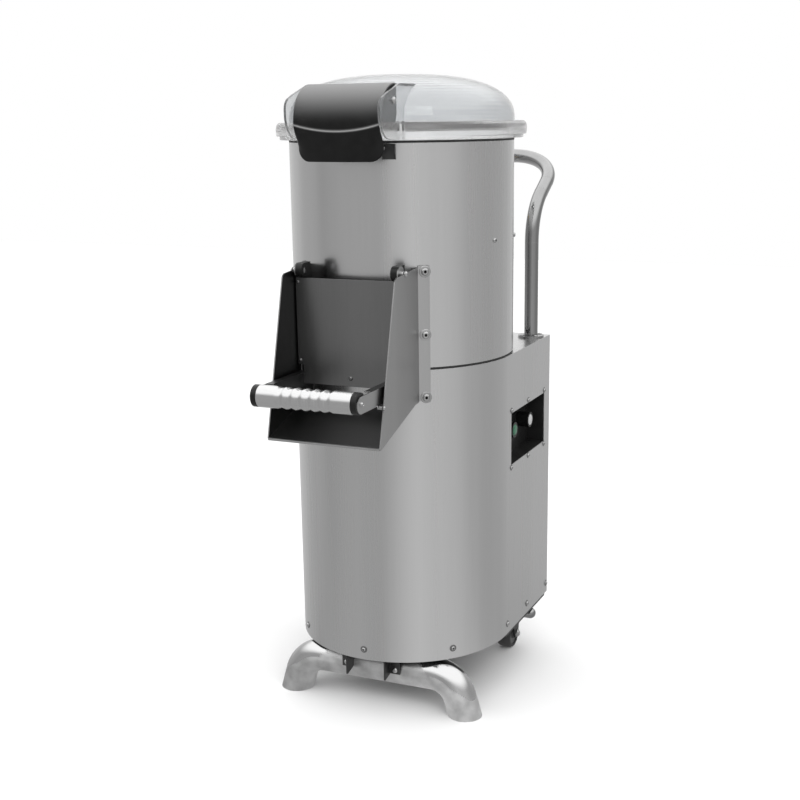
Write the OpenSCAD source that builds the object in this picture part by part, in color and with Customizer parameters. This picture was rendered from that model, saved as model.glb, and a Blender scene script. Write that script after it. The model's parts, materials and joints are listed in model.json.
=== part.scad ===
// Floor-standing electric potato peeler.
// Millimetres, +Z up, floor at z = 0. Lengths below are measured from the
// axis of the round peeling drum; at_drum() then centres the whole machine
// over the origin. The front of the machine, with the chute, looks along -Y.

/* [Peeling drum] */
// Outside radius of the drum
drum_r = 200; // [185:1:215]
// Height of the drum's side wall
drum_h = 374; // [330:1:420]
// Thickness of the drum's sheet
drum_wall = 1.5; // [1:0.1:2.5]
// Height of the rubber ring between housing and drum
seam_h = 4; // [2:0.5:8]
// Thickness of the abrasive lining
liner_t = 2; // [1:0.5:4]
// Thickness of the drum's floor
drum_floor_t = 3; // [2:0.5:5]

/* [Lower housing] */
// How far the housing stands proud of the drum
housing_proud = 1; // [0.5:0.5:4]
// Height of the housing's lower edge above the floor
housing_low = 105; // [100:1:112]
// Height of the housing
housing_h = 535; // [500:1:580]
// Distance from the drum axis to the back of the housing
housing_back = 250; // [242:1:275]
// Thickness of the housing's sheet
housing_wall = 1.5; // [1:0.1:2.5]
// Thickness of the deck plate that carries the drum
deck_t = 3; // [2:0.5:5]
// Height of the side rails under the base
rail_h = 9; // [6:0.5:14]
// Width of the side rails
rail_w = 14; // [10:1:22]

/* [Front foot] */
// Half the distance between the centres of the two feet
foot_x = 172; // [155:1:180]
// Distance of the foot in front of the drum axis
foot_y = 140; // [125:1:150]
// Outside radius of the cast arch
foot_r = 31; // [24:0.5:32]
// Angle by which the two legs splay outwards
foot_splay = 16; // [8:1:22]
// Centreline radius of the arch's two bends
foot_bend = 55; // [45:1:62]

/* [Rear wheels] */
// Distance of each wheel from the middle
wheel_x = 140; // [120:1:155]
// Distance of the wheels behind the drum axis
wheel_y = 183; // [165:1:192]
// Wheel diameter
wheel_d = 62; // [54:1:64]
// Wheel width
wheel_w = 28; // [20:1:36]
// Radius of the cross tube over the wheels
cross_tube_r = 11; // [8:0.5:12]

/* [Chute] */
// Half the width over the chute's side plates
chute_x = 104; // [98:1:112]
// Sheet thickness of the chute
chute_t = 2; // [1.5:0.1:3]
// Reach of the chute's lip in front of the drum axis
chute_reach = 334; // [310:1:350]
// Height of the lip above the floor
chute_lip_z = 538; // [520:1:552]
// Width of the screw flange, in degrees round the drum
flange_angle = 5.6; // [4:0.1:8]

/* [Door] */
// Half the width of the door panel
door_x = 99.5; // [96.5:0.5:100]
// Half the width of the opening behind the door
opening_x = 72; // [60:1:74]
// Height of the opening behind the door
opening_h = 100; // [80:1:106]
// Distance of the door's front face from the drum axis
door_front = 226; // [222:0.5:232]
// Height of the hinge axis above the seam of the drum
hinge_up = 166; // [161:1:172]
// Distance of the grip's axis in front of the drum axis
grip_reach = 383; // [360:1:400]
// Height of the grip's axis above the floor
grip_z = 625; // [620:1:630]
// Radius of the grip
grip_r = 18.5; // [16:0.5:21]
// Half the length of the bare aluminium grip
grip_x = 84.5; // [80:0.5:88]
// Thickness of the door levers
lever_t = 2; // [1.5:0.5:3]

/* [Lid] */
// How far the lid's rim stands out past the drum
rim_reach = 22.5; // [18:0.5:32]
// Height of the rim
rim_h = 28.7; // [24:0.1:34]
// Height of the dome above the rim
dome_h = 81; // [74:1:96]
// Wall of the clear moulding
lid_wall = 4; // [3:0.5:5]
// Half the width over the cheeks beside the feed hatch
cheek_x = 85.5; // [84:0.5:92]
// Radius of the feed hatch's rounded front
hatch_r = 61; // [56:0.5:62]
// Half the width of the feed hatch
hatch_x = 77; // [70:0.5:78.5]
// Wall of the feed hatch
hatch_wall = 3; // [2:0.5:4]
// Length of the apron below the rounded front
apron_h = 63; // [50:1:76]

/* [Push handle] */
// How far in from the housing's side each leg stands
handle_inset = 27; // [27:1:35]
// Distance of the legs behind the drum axis
handle_y = 213; // [213:1:218]
// Outside radius of the tube
handle_r = 13.2; // [11:0.2:14]
// Wall of the tube
handle_wall = 2; // [1.5:0.5:3]
// Height of the straight leg
handle_leg = 182; // [140:1:220]
// Angle by which the tube leans back
handle_lean = 60; // [40:1:70]
// Length of the straight leaning stretch
handle_slope = 40; // [20:1:70]
// Centreline radius of the bend above the leg
leg_bend = 104; // [80:1:120]
// Centreline radius of the two corners
corner_bend = 94; // [70:1:110]

/* [Controls] */
// Distance of the recess's front end behind the drum axis
recess_y = 24; // [20:1:30]
// Length of the recess
recess_l = 194; // [180:1:200]
// Height of the recess's lower edge above the floor
recess_z = 432; // [420:1:445]
// Height of the recess
recess_h = 98; // [90:1:110]
// Depth of the recess
recess_d = 36; // [34:1:42]
// Distance between the two buttons
button_gap = 90; // [70:1:110]
// Radius of the push-button collars
collar_r = 14.7; // [13:0.1:16]
// Height of the push-button collars
collar_h = 25; // [20:0.5:28]
// Travel of a push button
button_travel = 4; // [2:0.5:5]

/* [Drive] */
// Radius of the pulley under the disc
disc_pulley_r = 95; // [80:1:98]
// Radius of the motor's pulley
motor_pulley_r = 28; // [24:1:34]
// Distance from the disc's axis to the motor's axis
belt_centres = 150; // [142:1:160]
// Radius of the disc's shaft
shaft_r = 15; // [12:0.5:16]
// Running clearance on every shaft and pin
running_fit = 0.05; // [0.02:0.01:0.09]
// Radius of the motor's body
motor_r = 62; // [50:1:66]
// Length of the motor's body
motor_h = 248; // [200:1:280]
// Gap between the abrasive disc and the lining
disc_gap = 6.5; // [4:0.5:12]

/* [Hidden] */

$fn = 96;
big = 1000;
// Gap between pieces that move past each other
gap = 0.3;

// Levels, from the floor up
housing_top_z = housing_low + housing_h;
deck_z = housing_top_z - deck_t;
drum_low = housing_top_z + seam_h;
drum_screw_up = 207;
drum_top = drum_low + drum_h;
gasket_h = 4;
lid_low = drum_top + gasket_h + gap;
rim_r = drum_r + rim_reach;
rim_top = lid_low + rim_h;

// Housing, base frame and foot
housing_r = drum_r + housing_proud;
housing_in = housing_r - housing_wall;
side_screw_in = 8;
handle_x = housing_r - handle_inset;
cover_t = 1.5;
cover_back = housing_back + cover_t;
rail_low = housing_low - rail_h;
frame_plate_t = 3;
frame_ring_w = 45;
frame_wall_t = 2.5;
frame_wall_h = 32;
rail_out = housing_r - 4;
saddle_x = housing_r - 38;
cross_tube_z = rail_low - 6 - cross_tube_r;
beam_z = housing_low - 2 - foot_r;
foot_leg = (beam_z - foot_bend * (1 - sin(foot_splay))) / cos(foot_splay);
foot_beam = foot_x - foot_leg * sin(foot_splay) - foot_bend * cos(foot_splay);
bracket_x = 38;
bracket_t = 3;
bracket_drop = 37;

// Rear wheels
fork_t = 3;
fork_in = wheel_w / 2 + 2;
fork_top = cross_tube_z - 4;
fork_low = cross_tube_z - cross_tube_r - fork_t;
fork_half = 22;
axle_r = 5;
axle_eye = 10;
tyre_t = 7;

// Door, levers and grip
hinge_y = -(door_front - 1);
hinge_z = drum_low + hinge_up;
hinge_pin_r = 5;
panel_t = 2;
door_back = door_front - panel_t;
panel_top = hinge_z - 13;
opening_low = drum_low + 18;
opening_top = opening_low + opening_h;
neck_t = 3;
neck_front = door_back - 3;
seal_w = 10;
lever_x = 96;
arm_h = 28;
arm_low = grip_z - 16;
panel_low = arm_low + 6;
notch_x = lever_x - lever_t - 4;
notch_z = arm_low + arm_h + 11;
rivet_in = 7;
eye_r = 12.5;
stop_pin_r = 3.5;
stop_pin_y = -318;
block_t = 12;
block_deep = 18;

// Chute side plate
chute_in = chute_x - chute_t;
flange_start = asin(chute_in / housing_r) + 0.3;
flange_end = flange_start + flange_angle;
flange_mid = (flange_start + flange_end) / 2 + 0.6;
chute_top = hinge_z + 8;
chute_low = opening_low - 78;
chute_screw_z = [chute_low + 9, (chute_top + chute_low) / 2, chute_top - 10];

// Feed hatch and cheeks
cheek_in = cheek_x - lid_wall;
cheek_z = lid_low + 46;
cheek_y = -rim_r + 0.5;
hatch_y = cheek_y + 26;
hatch_z = lid_low + 30;
pivot_y = hatch_y - 26;
pivot_z = cheek_z + 17;
pivot_r = 3;
apron_r = -hatch_y + hatch_r + 2;
apron_low = hatch_z - apron_h;
apron_x = hatch_x + 1;
hood_top = rim_top + 61;
hood_front = -195;
cheek_nose = -272;
hood_foot = 200;

// Control recess
recess_x = housing_r - recess_d;
button_y = recess_y + recess_l / 2;
button_z = recess_z + recess_h / 2 + 5;
cap_r = collar_r - 3;
tub_t = 1.5;

// Drive
floor_top = drum_low + drum_floor_t;
seal_top = drum_low + 7;
disc_low = seal_top + 5;
disc_t = 12;
disc_r = drum_r - drum_wall - liner_t - disc_gap;
wave_r = 10;
stud_r = 8;
bearing_r = shaft_r + 16;
bearing_h = 16;
bearing_low = deck_z - 77;
bearing_wall = 7;
pulley_h = 22;
pulley_low = bearing_low - 60;
groove = 4;
groove_h = 18;
belt_t = 6;
motor_top = pulley_low - 14;
bracket_plate_t = 6;
bracket_half = 83;
motor_shaft_r = 12;
motor_shaft_in = 40;
shaft_proud = 4;
drain_r = 25;
drain_wall = 2;
drain_x = -112;
drain_y = 115;
drain_bend = 40;
drain_drop = 10;
drain_hub = 8;
drain_out = 40;
inlet_r = 13.2;
inlet_z = drum_top - 88;
gland_x = 120;
gland_z = 200;
gland_r = 10;

// The whole machine is centred over the origin between these two reaches
front_reach = grip_reach + grip_r;
lean_run = leg_bend * (1 - cos(handle_lean)) + (handle_slope + corner_bend) * sin(handle_lean);
rear_reach = handle_y + lean_run + handle_r;
axis_y = (front_reach - rear_reach) / 2;

module at_drum() translate([0, axis_y, 0]) children();
module both_sides() { children(); mirror([1, 0, 0]) children(); }

// Draws a run of tube: ["s", length] is straight, ["b", radius, angle, roll]
// rolls about the tube and then bends towards the local +X. Each joint between
// a bend and a straight is closed by a weld band a hair wider than the tube.
weld_proud = 0.1;
weld_half = 0.8;
module tube_run(parts, r, i = 0) {
    if (i < len(parts)) {
        p = parts[i];
        last = i == len(parts) - 1;
        start = i == 0 ? 0 : weld_half / 2;
        if (p[0] == "s") {
            translate([0, 0, start]) cylinder(r = r, h = p[1] - start - (last ? 0 : weld_half / 2));
            if (!last) translate([0, 0, p[1] - weld_half]) cylinder(r = r + weld_proud, h = 2 * weld_half);
            translate([0, 0, p[1]]) tube_run(parts, r, i + 1);
        } else {
            rotate([0, 0, p[3]]) {
                translate([p[1], 0, 0]) mirror([1, 0, 0]) rotate([90, 0, 0])
                    rotate_extrude(angle = p[2]) translate([p[1], 0]) circle(r);
                translate([p[1] * (1 - cos(p[2])), 0, p[1] * sin(p[2])]) rotate([0, p[2], 0]) {
                    translate([0, 0, -weld_half]) cylinder(r = r + weld_proud, h = 2 * weld_half);
                    tube_run(parts, r, i + 1);
                }
            }
        }
    }
}

// Turns a profile drawn as (y, z) into a plate between two places on X
module plate_x(x0, x1) translate([x0, 0, 0]) rotate([90, 0, 90]) linear_extrude(x1 - x0) children();
module rod_x(r, x0, x1) translate([x0, 0, 0]) rotate([0, 90, 0]) cylinder(r = r, h = x1 - x0);
module block(x, y, z) translate([x[0], y[0], z[0]]) cube([x[1] - x[0], y[1] - y[0], z[1] - z[0]]);
module ring(r_out, r_in, z0, z1) translate([0, 0, z0]) difference() {
    cylinder(r = r_out, h = z1 - z0);
    translate([0, 0, -1]) cylinder(r = r_in, h = z1 - z0 + 2);
}
// A round-headed screw standing on the plane z = 0
module button_head(r) {
    cylinder(r = r, h = r * 0.35);
    translate([0, 0, r * 0.35]) cylinder(r1 = r, r2 = r * 0.55, h = r * 0.4);
}
// Places children on the drum's side, a degrees round from the front, with +Z pointing outwards
module on_side(a, r, z) rotate([0, 0, a]) translate([0, -r, z]) rotate([90, 0, 0]) children();
function arc(c, r, a0, a1, n = 8) = [for (i = [0:n]) let (a = a0 + (a1 - a0) * i / n)
    [c[0] + r * cos(a), c[1] + r * sin(a)]];

// The D-shaped plan of the housing, drawn a given distance inside its outer face
module housing_plan(inset) {
    circle(housing_r - inset);
    translate([-housing_r + inset, 0]) square([2 * (housing_r - inset), housing_back - inset]);
}

// The cast arch: two splayed legs, two bends and the beam between them
module foot_run(r) {
    under = foot_r * tan(foot_splay) + 2;
    bend = 90 - foot_splay;
    translate([foot_x, -foot_y, 0]) rotate([0, 0, 180]) rotate([0, foot_splay, 0]) translate([0, 0, -under])
        tube_run([["s", under + foot_leg], ["b", foot_bend, bend, 0], ["s", 2 * foot_beam],
            ["b", foot_bend, bend, 0], ["s", foot_leg + under]], r);
}

module front_foot() color("silver") at_drum() difference() {
    union() {
        foot_run(foot_r);
        both_sides() block([45, 95], [-foot_y - 16, -foot_y + 16], [housing_low - 15, housing_low]);
    }
    block([-big, big], [-big, 0], [-big, 0]);
}

module foot_brackets() color("dimgray") at_drum() difference() {
    front = housing_r - 5;
    union() {
        both_sides() plate_x(bracket_x - bracket_t / 2, bracket_x + bracket_t / 2)
            polygon([[-front, housing_low], [-front, housing_low - bracket_drop],
                [-foot_y - foot_r - 3, housing_low - bracket_drop + 5],
                [-foot_y, housing_low - 8], [-foot_y, housing_low]]);
        both_sides() block([bracket_x, bracket_x + 20], [-foot_y - foot_r - 3, -foot_y - foot_r],
            [housing_low - bracket_drop + 5, housing_low]);
    }
    translate([0, -foot_y, beam_z]) rod_x(foot_r, -big, big);
    block([-30, 30], [-foot_y - 40, -foot_y + 40], [0, big]);
}

module foot_bolts() color("gainsboro") at_drum() both_sides() {
    translate([bracket_x + 11, -foot_y - foot_r - 3, beam_z + 9]) rotate([90, 0, 0]) button_head(5);
    translate([70, -foot_y, housing_low + frame_plate_t]) cylinder(r = 8, h = 6, $fn = 6);
}

module base_frame() color("#2b2b2d") at_drum() difference() {
    union() {
        translate([0, 0, housing_low]) linear_extrude(frame_plate_t) intersection() {
            housing_plan(housing_wall);
            union() {
                difference() {
                    housing_plan(0);
                    housing_plan(frame_ring_w);
                }
                translate([-150, -foot_y - 30]) square([300, 66]);
            }
        }
        translate([0, 0, housing_low]) linear_extrude(frame_wall_h) difference() {
            housing_plan(housing_wall);
            housing_plan(housing_wall + frame_wall_t);
        }
        both_sides() block([rail_out - rail_w, rail_out], [10, housing_back - 4], [rail_low, housing_low]);
        block([-rail_out, rail_out], [housing_back - 4 - rail_w, housing_back - 4], [rail_low, housing_low]);
        both_sides() block([saddle_x, saddle_x + 18], [wheel_y - cross_tube_r, wheel_y + cross_tube_r],
            [cross_tube_z, housing_low]);
    }
    translate([0, wheel_y, cross_tube_z]) rod_x(cross_tube_r, -big, big);
}

module rear_cross_tube() color("silver") at_drum() translate([0, wheel_y, cross_tube_z]) {
    end = housing_r - 2 - cross_tube_r;
    rod_x(cross_tube_r, -end, end);
    both_sides() translate([end, 0, 0]) sphere(r = cross_tube_r);
}

module right_wheel() at_drum() translate([wheel_x, wheel_y, 0]) children();
module left_wheel() mirror([1, 0, 0]) right_wheel() children();

// A fork hangs under the cross tube and carries the axle on both sides of its wheel
module wheel_fork() difference() {
    union() {
        block([-fork_in - fork_t, fork_in + fork_t], [-fork_half, fork_half], [fork_low, fork_top]);
        for (x = [-fork_in - fork_t, fork_in]) plate_x(x, x + fork_t) difference() {
            union() {
                translate([0, wheel_d / 2]) circle(axle_eye);
                polygon([[-fork_half, fork_low + fork_t], [-axle_eye, wheel_d / 2],
                    [axle_eye, wheel_d / 2], [fork_half, fork_low + fork_t]]);
            }
            translate([0, wheel_d / 2]) circle(axle_r);
        }
    }
    translate([0, 0, cross_tube_z]) rod_x(cross_tube_r, -big, big);
}
module wheel_axle() translate([0, 0, wheel_d / 2]) {
    rod_x(axle_r, -fork_in - fork_t, fork_in + fork_t);
    for (s = [0, 1]) mirror([s, 0, 0]) translate([fork_in + fork_t, 0, 0]) rotate([0, 90, 0]) button_head(8);
}
module wheel_hub() translate([0, 0, wheel_d / 2]) difference() {
    union() {
        rod_x(wheel_d / 2 - tyre_t, -wheel_w / 2 + 3, wheel_w / 2 - 3);
        rod_x(axle_eye + 1, -wheel_w / 2 - 1, wheel_w / 2 + 1);
    }
    rod_x(axle_r + running_fit, -big / 2, big / 2);
}
module wheel_tyre() translate([0, 0, wheel_d / 2]) rotate([0, 90, 0]) rotate_extrude() {
    r = wheel_d / 2;
    half = wheel_w / 2;
    polygon(concat([[r - tyre_t, -half], [r - tyre_t, half]],
        [for (i = [8:-1:-8]) [r - 3.5 * pow(abs(i) / 8, 3), half * i / 8]]));
}
module wheel_forks() color("#2b2b2d") { left_wheel() wheel_fork(); right_wheel() wheel_fork(); }
module wheel_axles() color("gainsboro") { left_wheel() wheel_axle(); right_wheel() wheel_axle(); }
module wheel_hub_left() color("darkgray") left_wheel() wheel_hub();
module wheel_hub_right() color("darkgray") right_wheel() wheel_hub();
module wheel_tyre_left() color("#303030") left_wheel() wheel_tyre();
module wheel_tyre_right() color("#303030") right_wheel() wheel_tyre();

module lower_housing() color("lightgray") at_drum() difference() {
    translate([0, 0, housing_low]) linear_extrude(housing_h) difference() {
        housing_plan(0);
        housing_plan(housing_wall);
    }
    block([-housing_r + 16, housing_r - 16], [housing_back - 20, big], [housing_low + 16, housing_top_z - 16]);
    block([0, big], [recess_y, recess_y + recess_l], [recess_z, recess_z + recess_h]);
}

module rear_cover() color("lightgray") at_drum() difference() {
    block([-housing_r + 2, housing_r - 2], [housing_back, cover_back], [housing_low + 3, housing_top_z - 3]);
    translate([drain_x, 0, drain_z]) rotate([-90, 0, 0]) cylinder(r = drain_r - 1, h = big);
    translate([gland_x, 0, gland_z]) rotate([-90, 0, 0]) cylinder(r = gland_r, h = big);
    for (row = [0:7]) block([-20, 60], [0, big], [gland_z + 14 * row, gland_z + 14 * row + 5]);
}
drain_z = drum_low - drain_drop - drain_bend;

module housing_top() color("lightgray") at_drum() difference() {
    translate([0, 0, deck_z]) linear_extrude(deck_t) housing_plan(housing_wall);
    translate([0, 0, deck_z - 1]) cylinder(r = bearing_r + bearing_wall, h = deck_t + 2);
    translate([drain_x, drain_y, deck_z - 1]) cylinder(r = drain_r, h = deck_t + 2);
}

// Screws round the foot of the housing, round the control recess, on the back cover
// and on the push handle's flanges
module casing_screws() color("gainsboro") at_drum() {
    low = housing_low + 19.7;
    for (a = [-47.3, 0, 47.3]) on_side(a, housing_r, low) button_head(4);
    rear = housing_back - side_screw_in;
    both_sides() for (y = [side_screw_in, rear / 2, rear])
        translate([housing_r, y, low]) rotate([0, 90, 0]) button_head(4);
    for (i = [0:2], z = [-5, recess_h + 5])
        translate([housing_r, recess_y + 1 + i * (recess_l / 2 - 1), recess_z + z])
            rotate([0, 90, 0]) button_head(3.5);
    both_sides() for (z = [housing_low + 20, (housing_low + housing_top_z) / 2, housing_top_z - 20])
        translate([housing_r - 10, cover_back, z]) rotate([-90, 0, 0]) button_head(4);
    both_sides() for (a = [45, 135, 225, 315])
        translate([handle_x, handle_y, housing_top_z + flange_t]) rotate([0, 0, a])
            translate([flange_screw_r, 0, 0]) button_head(3);
}
flange_t = 4;
flange_r = 25;
flange_screw_r = (flange_r + handle_r) / 2;

module seam_ring() color("#1c1c1c") at_drum() ring(drum_r - 1, drum_r - 12, housing_top_z, drum_low);

// Box that cuts the discharge opening through the front of a drum layer
module opening_cut(grow = 0) block([-opening_x - grow, opening_x + grow], [-drum_r - 50, -drum_r + 60],
    [opening_low - grow, opening_top + grow]);

module drum() color("silver") at_drum() difference() {
    union() {
        ring(drum_r, drum_r - drum_wall, drum_low, drum_top);
        ring(drum_r, drum_r - 4, drum_top - 2, drum_top);
    }
    opening_cut();
    translate([0, 0, inlet_z]) rotate([-90, 0, 0]) cylinder(r = inlet_r, h = big);
}

module drum_floor() color("silver") at_drum() difference() {
    translate([0, 0, drum_low]) cylinder(r = drum_r - drum_wall, h = drum_floor_t);
    cylinder(r = shaft_r + 7, h = big);
    translate([drain_x, drain_y, 0]) cylinder(r = drain_r - drain_wall, h = big);
}

module abrasive_liner() color("#6b6a66") at_drum() difference() {
    ring(drum_r - drum_wall, drum_r - drum_wall - liner_t, floor_top, drum_top - 14);
    opening_cut();
    translate([0, 0, inlet_z]) rotate([-90, 0, 0]) cylinder(r = inlet_r + 3, h = big);
}

module discharge_neck() color("silver") at_drum() difference() {
    block([-opening_x - neck_t, opening_x + neck_t], [-neck_front, -drum_r + 45],
        [opening_low - neck_t, opening_top + neck_t]);
    opening_cut();
    cylinder(r = drum_r, h = big * 2);
}

module drum_screws() color("gainsboro") at_drum() {
    for (a = [76, 108]) on_side(a, drum_r, drum_low + drum_screw_up) button_head(4);
    both_sides() on_side(bracket_angle - 2.8, drum_r + lid_bracket_t, drum_top - 8) button_head(3.5);
}
bracket_angle = 18.2;
lid_bracket_t = 1.5;

// Small angle brackets that keep the lid's front edge in place
module lid_brackets() color("dimgray") at_drum() both_sides() rotate([0, 0, bracket_angle]) difference() {
    union() {
        intersection() {
            ring(drum_r + lid_bracket_t, drum_r, drum_top - 26, drum_top - 1);
            block([-12, 11], [-big, 0], [0, 2 * big]);
        }
        block([9.5, 11], [-drum_r - 13, -drum_r + 2], [drum_top - 26, drum_top - 1]);
    }
    cylinder(r = drum_r, h = big * 2);
    translate([9, -drum_r - 13, drum_top - 26]) rotate([45, 0, 0]) cube([4, 14, 14], center = true);
}

module water_inlet() color("#c9b06a") at_drum() translate([0, drum_r - drum_wall - liner_t, inlet_z])
    rotate([-90, 0, 0]) difference() {
        union() {
            cylinder(r = inlet_r, h = 12);
            cylinder(r = inlet_r - 1, h = 42);
            translate([0, 0, drum_wall + liner_t]) cylinder(r = inlet_r + 5, h = 6, $fn = 6);
        }
        translate([0, 0, -1]) cylinder(r = inlet_r - 4, h = 44);
    }

// The drain drops through the floor, turns back through the rear cover and ends in a hose spigot
module drain_run(r, end, hub, tip) {
    translate([drain_x, drain_y, drain_z - end]) cylinder(r = r, h = drum_low - drain_z + end);
    translate([drain_x, drain_y, drain_z]) rotate([-90, 0, 0]) {
        cylinder(r = r - 1, h = cover_back + hub - drain_y);
        cylinder(r = r - 3, h = cover_back + drain_hub + drain_out - drain_y + tip);
    }
}
module drain_outlet() color("#4a4c4e") at_drum() difference() {
    drain_run(drain_r, drain_r + 4, drain_hub, 0);
    drain_run(drain_r - drain_wall, drain_r, drain_hub - drain_wall, 1);
    translate([drain_x, drain_y, drum_low - 1]) cylinder(r = drain_r - drain_wall, h = 2);
}

module bearing_housing() color("#8b8e90") at_drum() difference() {
    union() {
        translate([0, 0, bearing_low]) cylinder(r = bearing_r + bearing_wall, h = drum_low - bearing_low);
        translate([0, 0, deck_z - 8]) cylinder(r = bearing_r + bearing_wall + 24, h = 8);
    }
    cylinder(r = shaft_r + 2, h = big);
    translate([0, 0, bearing_low - 1]) cylinder(r = bearing_r, h = bearing_h + 1);
    translate([0, 0, drum_low - bearing_h]) cylinder(r = bearing_r, h = bearing_h + 1);
}
module shaft_bearings() color("gray") at_drum() {
    for (z = [bearing_low, drum_low - bearing_h])
        ring(bearing_r, shaft_r + running_fit, z, z + bearing_h);
}
module shaft_seal() color("#222222") at_drum() ring(shaft_r + 7, shaft_r + running_fit, drum_low, seal_top);

module motor_bracket() color("#7d8083") at_drum() {
    difference() {
        block([-bracket_half, bracket_half], [disc_pulley_r - 13, housing_back - 14],
            [motor_top, motor_top + bracket_plate_t]);
        translate([0, belt_centres, 0]) cylinder(r = 20, h = big);
    }
    both_sides() block([bracket_half - 3, bracket_half], [disc_pulley_r + 6, housing_back - 14],
        [motor_top + bracket_plate_t, deck_z]);
    both_sides() block([bracket_half - 15, bracket_half - 3], [disc_pulley_r + 6, housing_back - 14],
        [deck_z - 3, deck_z]);
}

module motor() color("#5f6a72") at_drum() translate([0, belt_centres, motor_top - motor_h]) difference() {
    union() {
        cylinder(r = motor_r - 6, h = motor_h);
        cylinder(r = motor_r, h = 34);
        translate([0, 0, motor_h - 16]) cylinder(r = motor_r, h = 16);
        for (i = [0:15]) rotate([0, 0, 22.5 * i + 6])
            block([motor_r - 14, motor_r - 2], [-1.5, 1.5], [30, motor_h - 12]);
    }
    translate([0, 0, motor_h - motor_shaft_in - 6]) cylinder(r = motor_shaft_r + running_fit, h = big);
}
module motor_shaft() color("silver") at_drum() translate([0, belt_centres, motor_top - motor_shaft_in])
    cylinder(r = motor_shaft_r, h = pulley_low + pulley_h + shaft_proud - motor_top + motor_shaft_in);

module pulley(r, bore) translate([0, 0, pulley_low]) difference() {
    cylinder(r = r, h = pulley_h);
    translate([0, 0, -1]) cylinder(r = bore, h = pulley_h + 2);
    ring(r + 1, r - groove, (pulley_h - groove_h) / 2, (pulley_h + groove_h) / 2);
}
module disc_pulley() color("#55585b") at_drum() pulley(disc_pulley_r, shaft_r);
module motor_pulley() color("#55585b") at_drum() translate([0, belt_centres, 0])
    pulley(motor_pulley_r, motor_shaft_r);

// Outline of a belt round both pulleys, a given distance outside their grooves
module belt_plan(grow) {
    big_r = disc_pulley_r - groove + grow;
    small_r = motor_pulley_r - groove + grow;
    tilt = asin((big_r - small_r) / belt_centres);
    circle(big_r);
    translate([0, belt_centres]) circle(small_r);
    polygon([for (p = [[big_r, 0, 1], [small_r, belt_centres, 1], [small_r, belt_centres, -1],
        [big_r, 0, -1]]) [p[2] * p[0] * cos(tilt), p[1] + p[0] * sin(tilt)]]);
}
module drive_belt() color("#1a1a1a") at_drum()
    translate([0, 0, pulley_low + (pulley_h - groove_h) / 2 + 2]) linear_extrude(groove_h - 4) difference() {
        belt_plan(gap + belt_t);
        belt_plan(gap);
    }

// Outline of the chute's side plate, as (y, z)
module chute_side() {
    slope = (chute_low - chute_lip_z) / (chute_reach - 191);
    polygon(concat([[-140, chute_low + 4], [-140, chute_top]],
        arc([-hinge_front + 12, chute_top - 22], 12, 85, 175),
        [[-chute_reach, chute_lip_z + 3], [-chute_reach + 3, chute_lip_z],
        [-191, chute_lip_z + slope * (chute_reach - 191)]]));
}
hinge_front = 268;

module chute() color("#8d8f90") at_drum() difference() {
    slope = (chute_low - chute_lip_z) / (chute_reach - 191);
    union() {
        both_sides() plate_x(chute_in, chute_x) chute_side();
        plate_x(-chute_in, chute_in) polygon([[-chute_reach, chute_lip_z + 1], [-chute_reach, chute_lip_z + 3],
            [-150, chute_lip_z + 3 + slope * (chute_reach - 150)],
            [-150, chute_lip_z + 1 + slope * (chute_reach - 150)]]);
        translate([0, -chute_reach + 0.5, chute_lip_z + 2]) rod_x(2.5, -chute_in, chute_in);
        both_sides() rotate([0, 0, -90 + flange_start]) translate([0, 0, chute_low])
            rotate_extrude(angle = flange_angle) translate([housing_r, 0])
                square([chute_t, chute_top - chute_low]);
    }
    translate([0, 0, -1]) cylinder(r = housing_r, h = big * 2);
    both_sides() translate([chute_in - 1, -housing_r + 28, chute_low - 2]) rod_x(5, -4, 12);
}

module chute_screws() color("gainsboro") at_drum() both_sides() for (z = chute_screw_z)
    on_side(flange_mid, housing_r + chute_t, z) {
        cylinder(r = 6.5, h = 1.2);
        translate([0, 0, 1.2]) button_head(4.5);
    }

// Hinge pins at the top of the chute and the stop pins that the door's arms rest on
module chute_pins() color("gainsboro") at_drum() both_sides() {
    translate([0, hinge_y, hinge_z]) rod_x(hinge_pin_r, lever_x - lever_t - block_t + 1, chute_in);
    translate([chute_x, hinge_y, hinge_z]) rotate([0, 90, 0]) button_head(5);
    translate([0, stop_pin_y, arm_low - gap - stop_pin_r]) rod_x(stop_pin_r, lever_x - lever_t, chute_in);
    translate([chute_x, stop_pin_y, arm_low - gap - stop_pin_r]) rotate([0, 90, 0]) button_head(4);
}

// Outline of a door lever as (y, z): hinge eye, upright beside the door and arm to the grip
module lever_side() difference() {
    union() {
        translate([hinge_y, hinge_z]) circle(eye_r);
        translate([-door_back, arm_low]) square([10, hinge_z - arm_low]);
        translate([-grip_reach, arm_low]) square([grip_reach - door_back + 1, arm_h]);
        translate([-grip_reach, arm_low + arm_h / 2]) circle(arm_h / 2);
    }
    translate([hinge_y, hinge_z]) circle(hinge_pin_r + running_fit);
}
module door_levers() color("#9a9c9e") at_drum() both_sides() difference() {
    union() {
        plate_x(lever_x - lever_t, lever_x) lever_side();
        block([lever_x - 12, lever_x], [-door_back, -door_back + lever_t],
            [notch_z + 2, panel_top - 10 - gap]);
        block([lever_x - 14, lever_x], [-grip_reach + grip_r + 20, -door_front - 8],
            [arm_low + arm_h - lever_t, arm_low + arm_h]);
    }
    translate([0, -grip_reach, grip_z]) rod_x(3, 0, big);
}

module door_panel() color("#9c9ea0") at_drum() {
    block([-door_x, door_x], [-door_front, -door_back], [notch_z, panel_top]);
    block([-notch_x, notch_x], [-door_front, -door_back], [panel_low, notch_z]);
    both_sides() for (z = [notch_z + rivet_in, panel_top - rivet_in])
        translate([door_x - 4, -door_front, z]) rotate([90, 0, 0]) button_head(3);
    translate([0, -door_front, panel_low + 2 * rivet_in]) rotate([90, 0, 0]) button_head(3.5);
}

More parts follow.
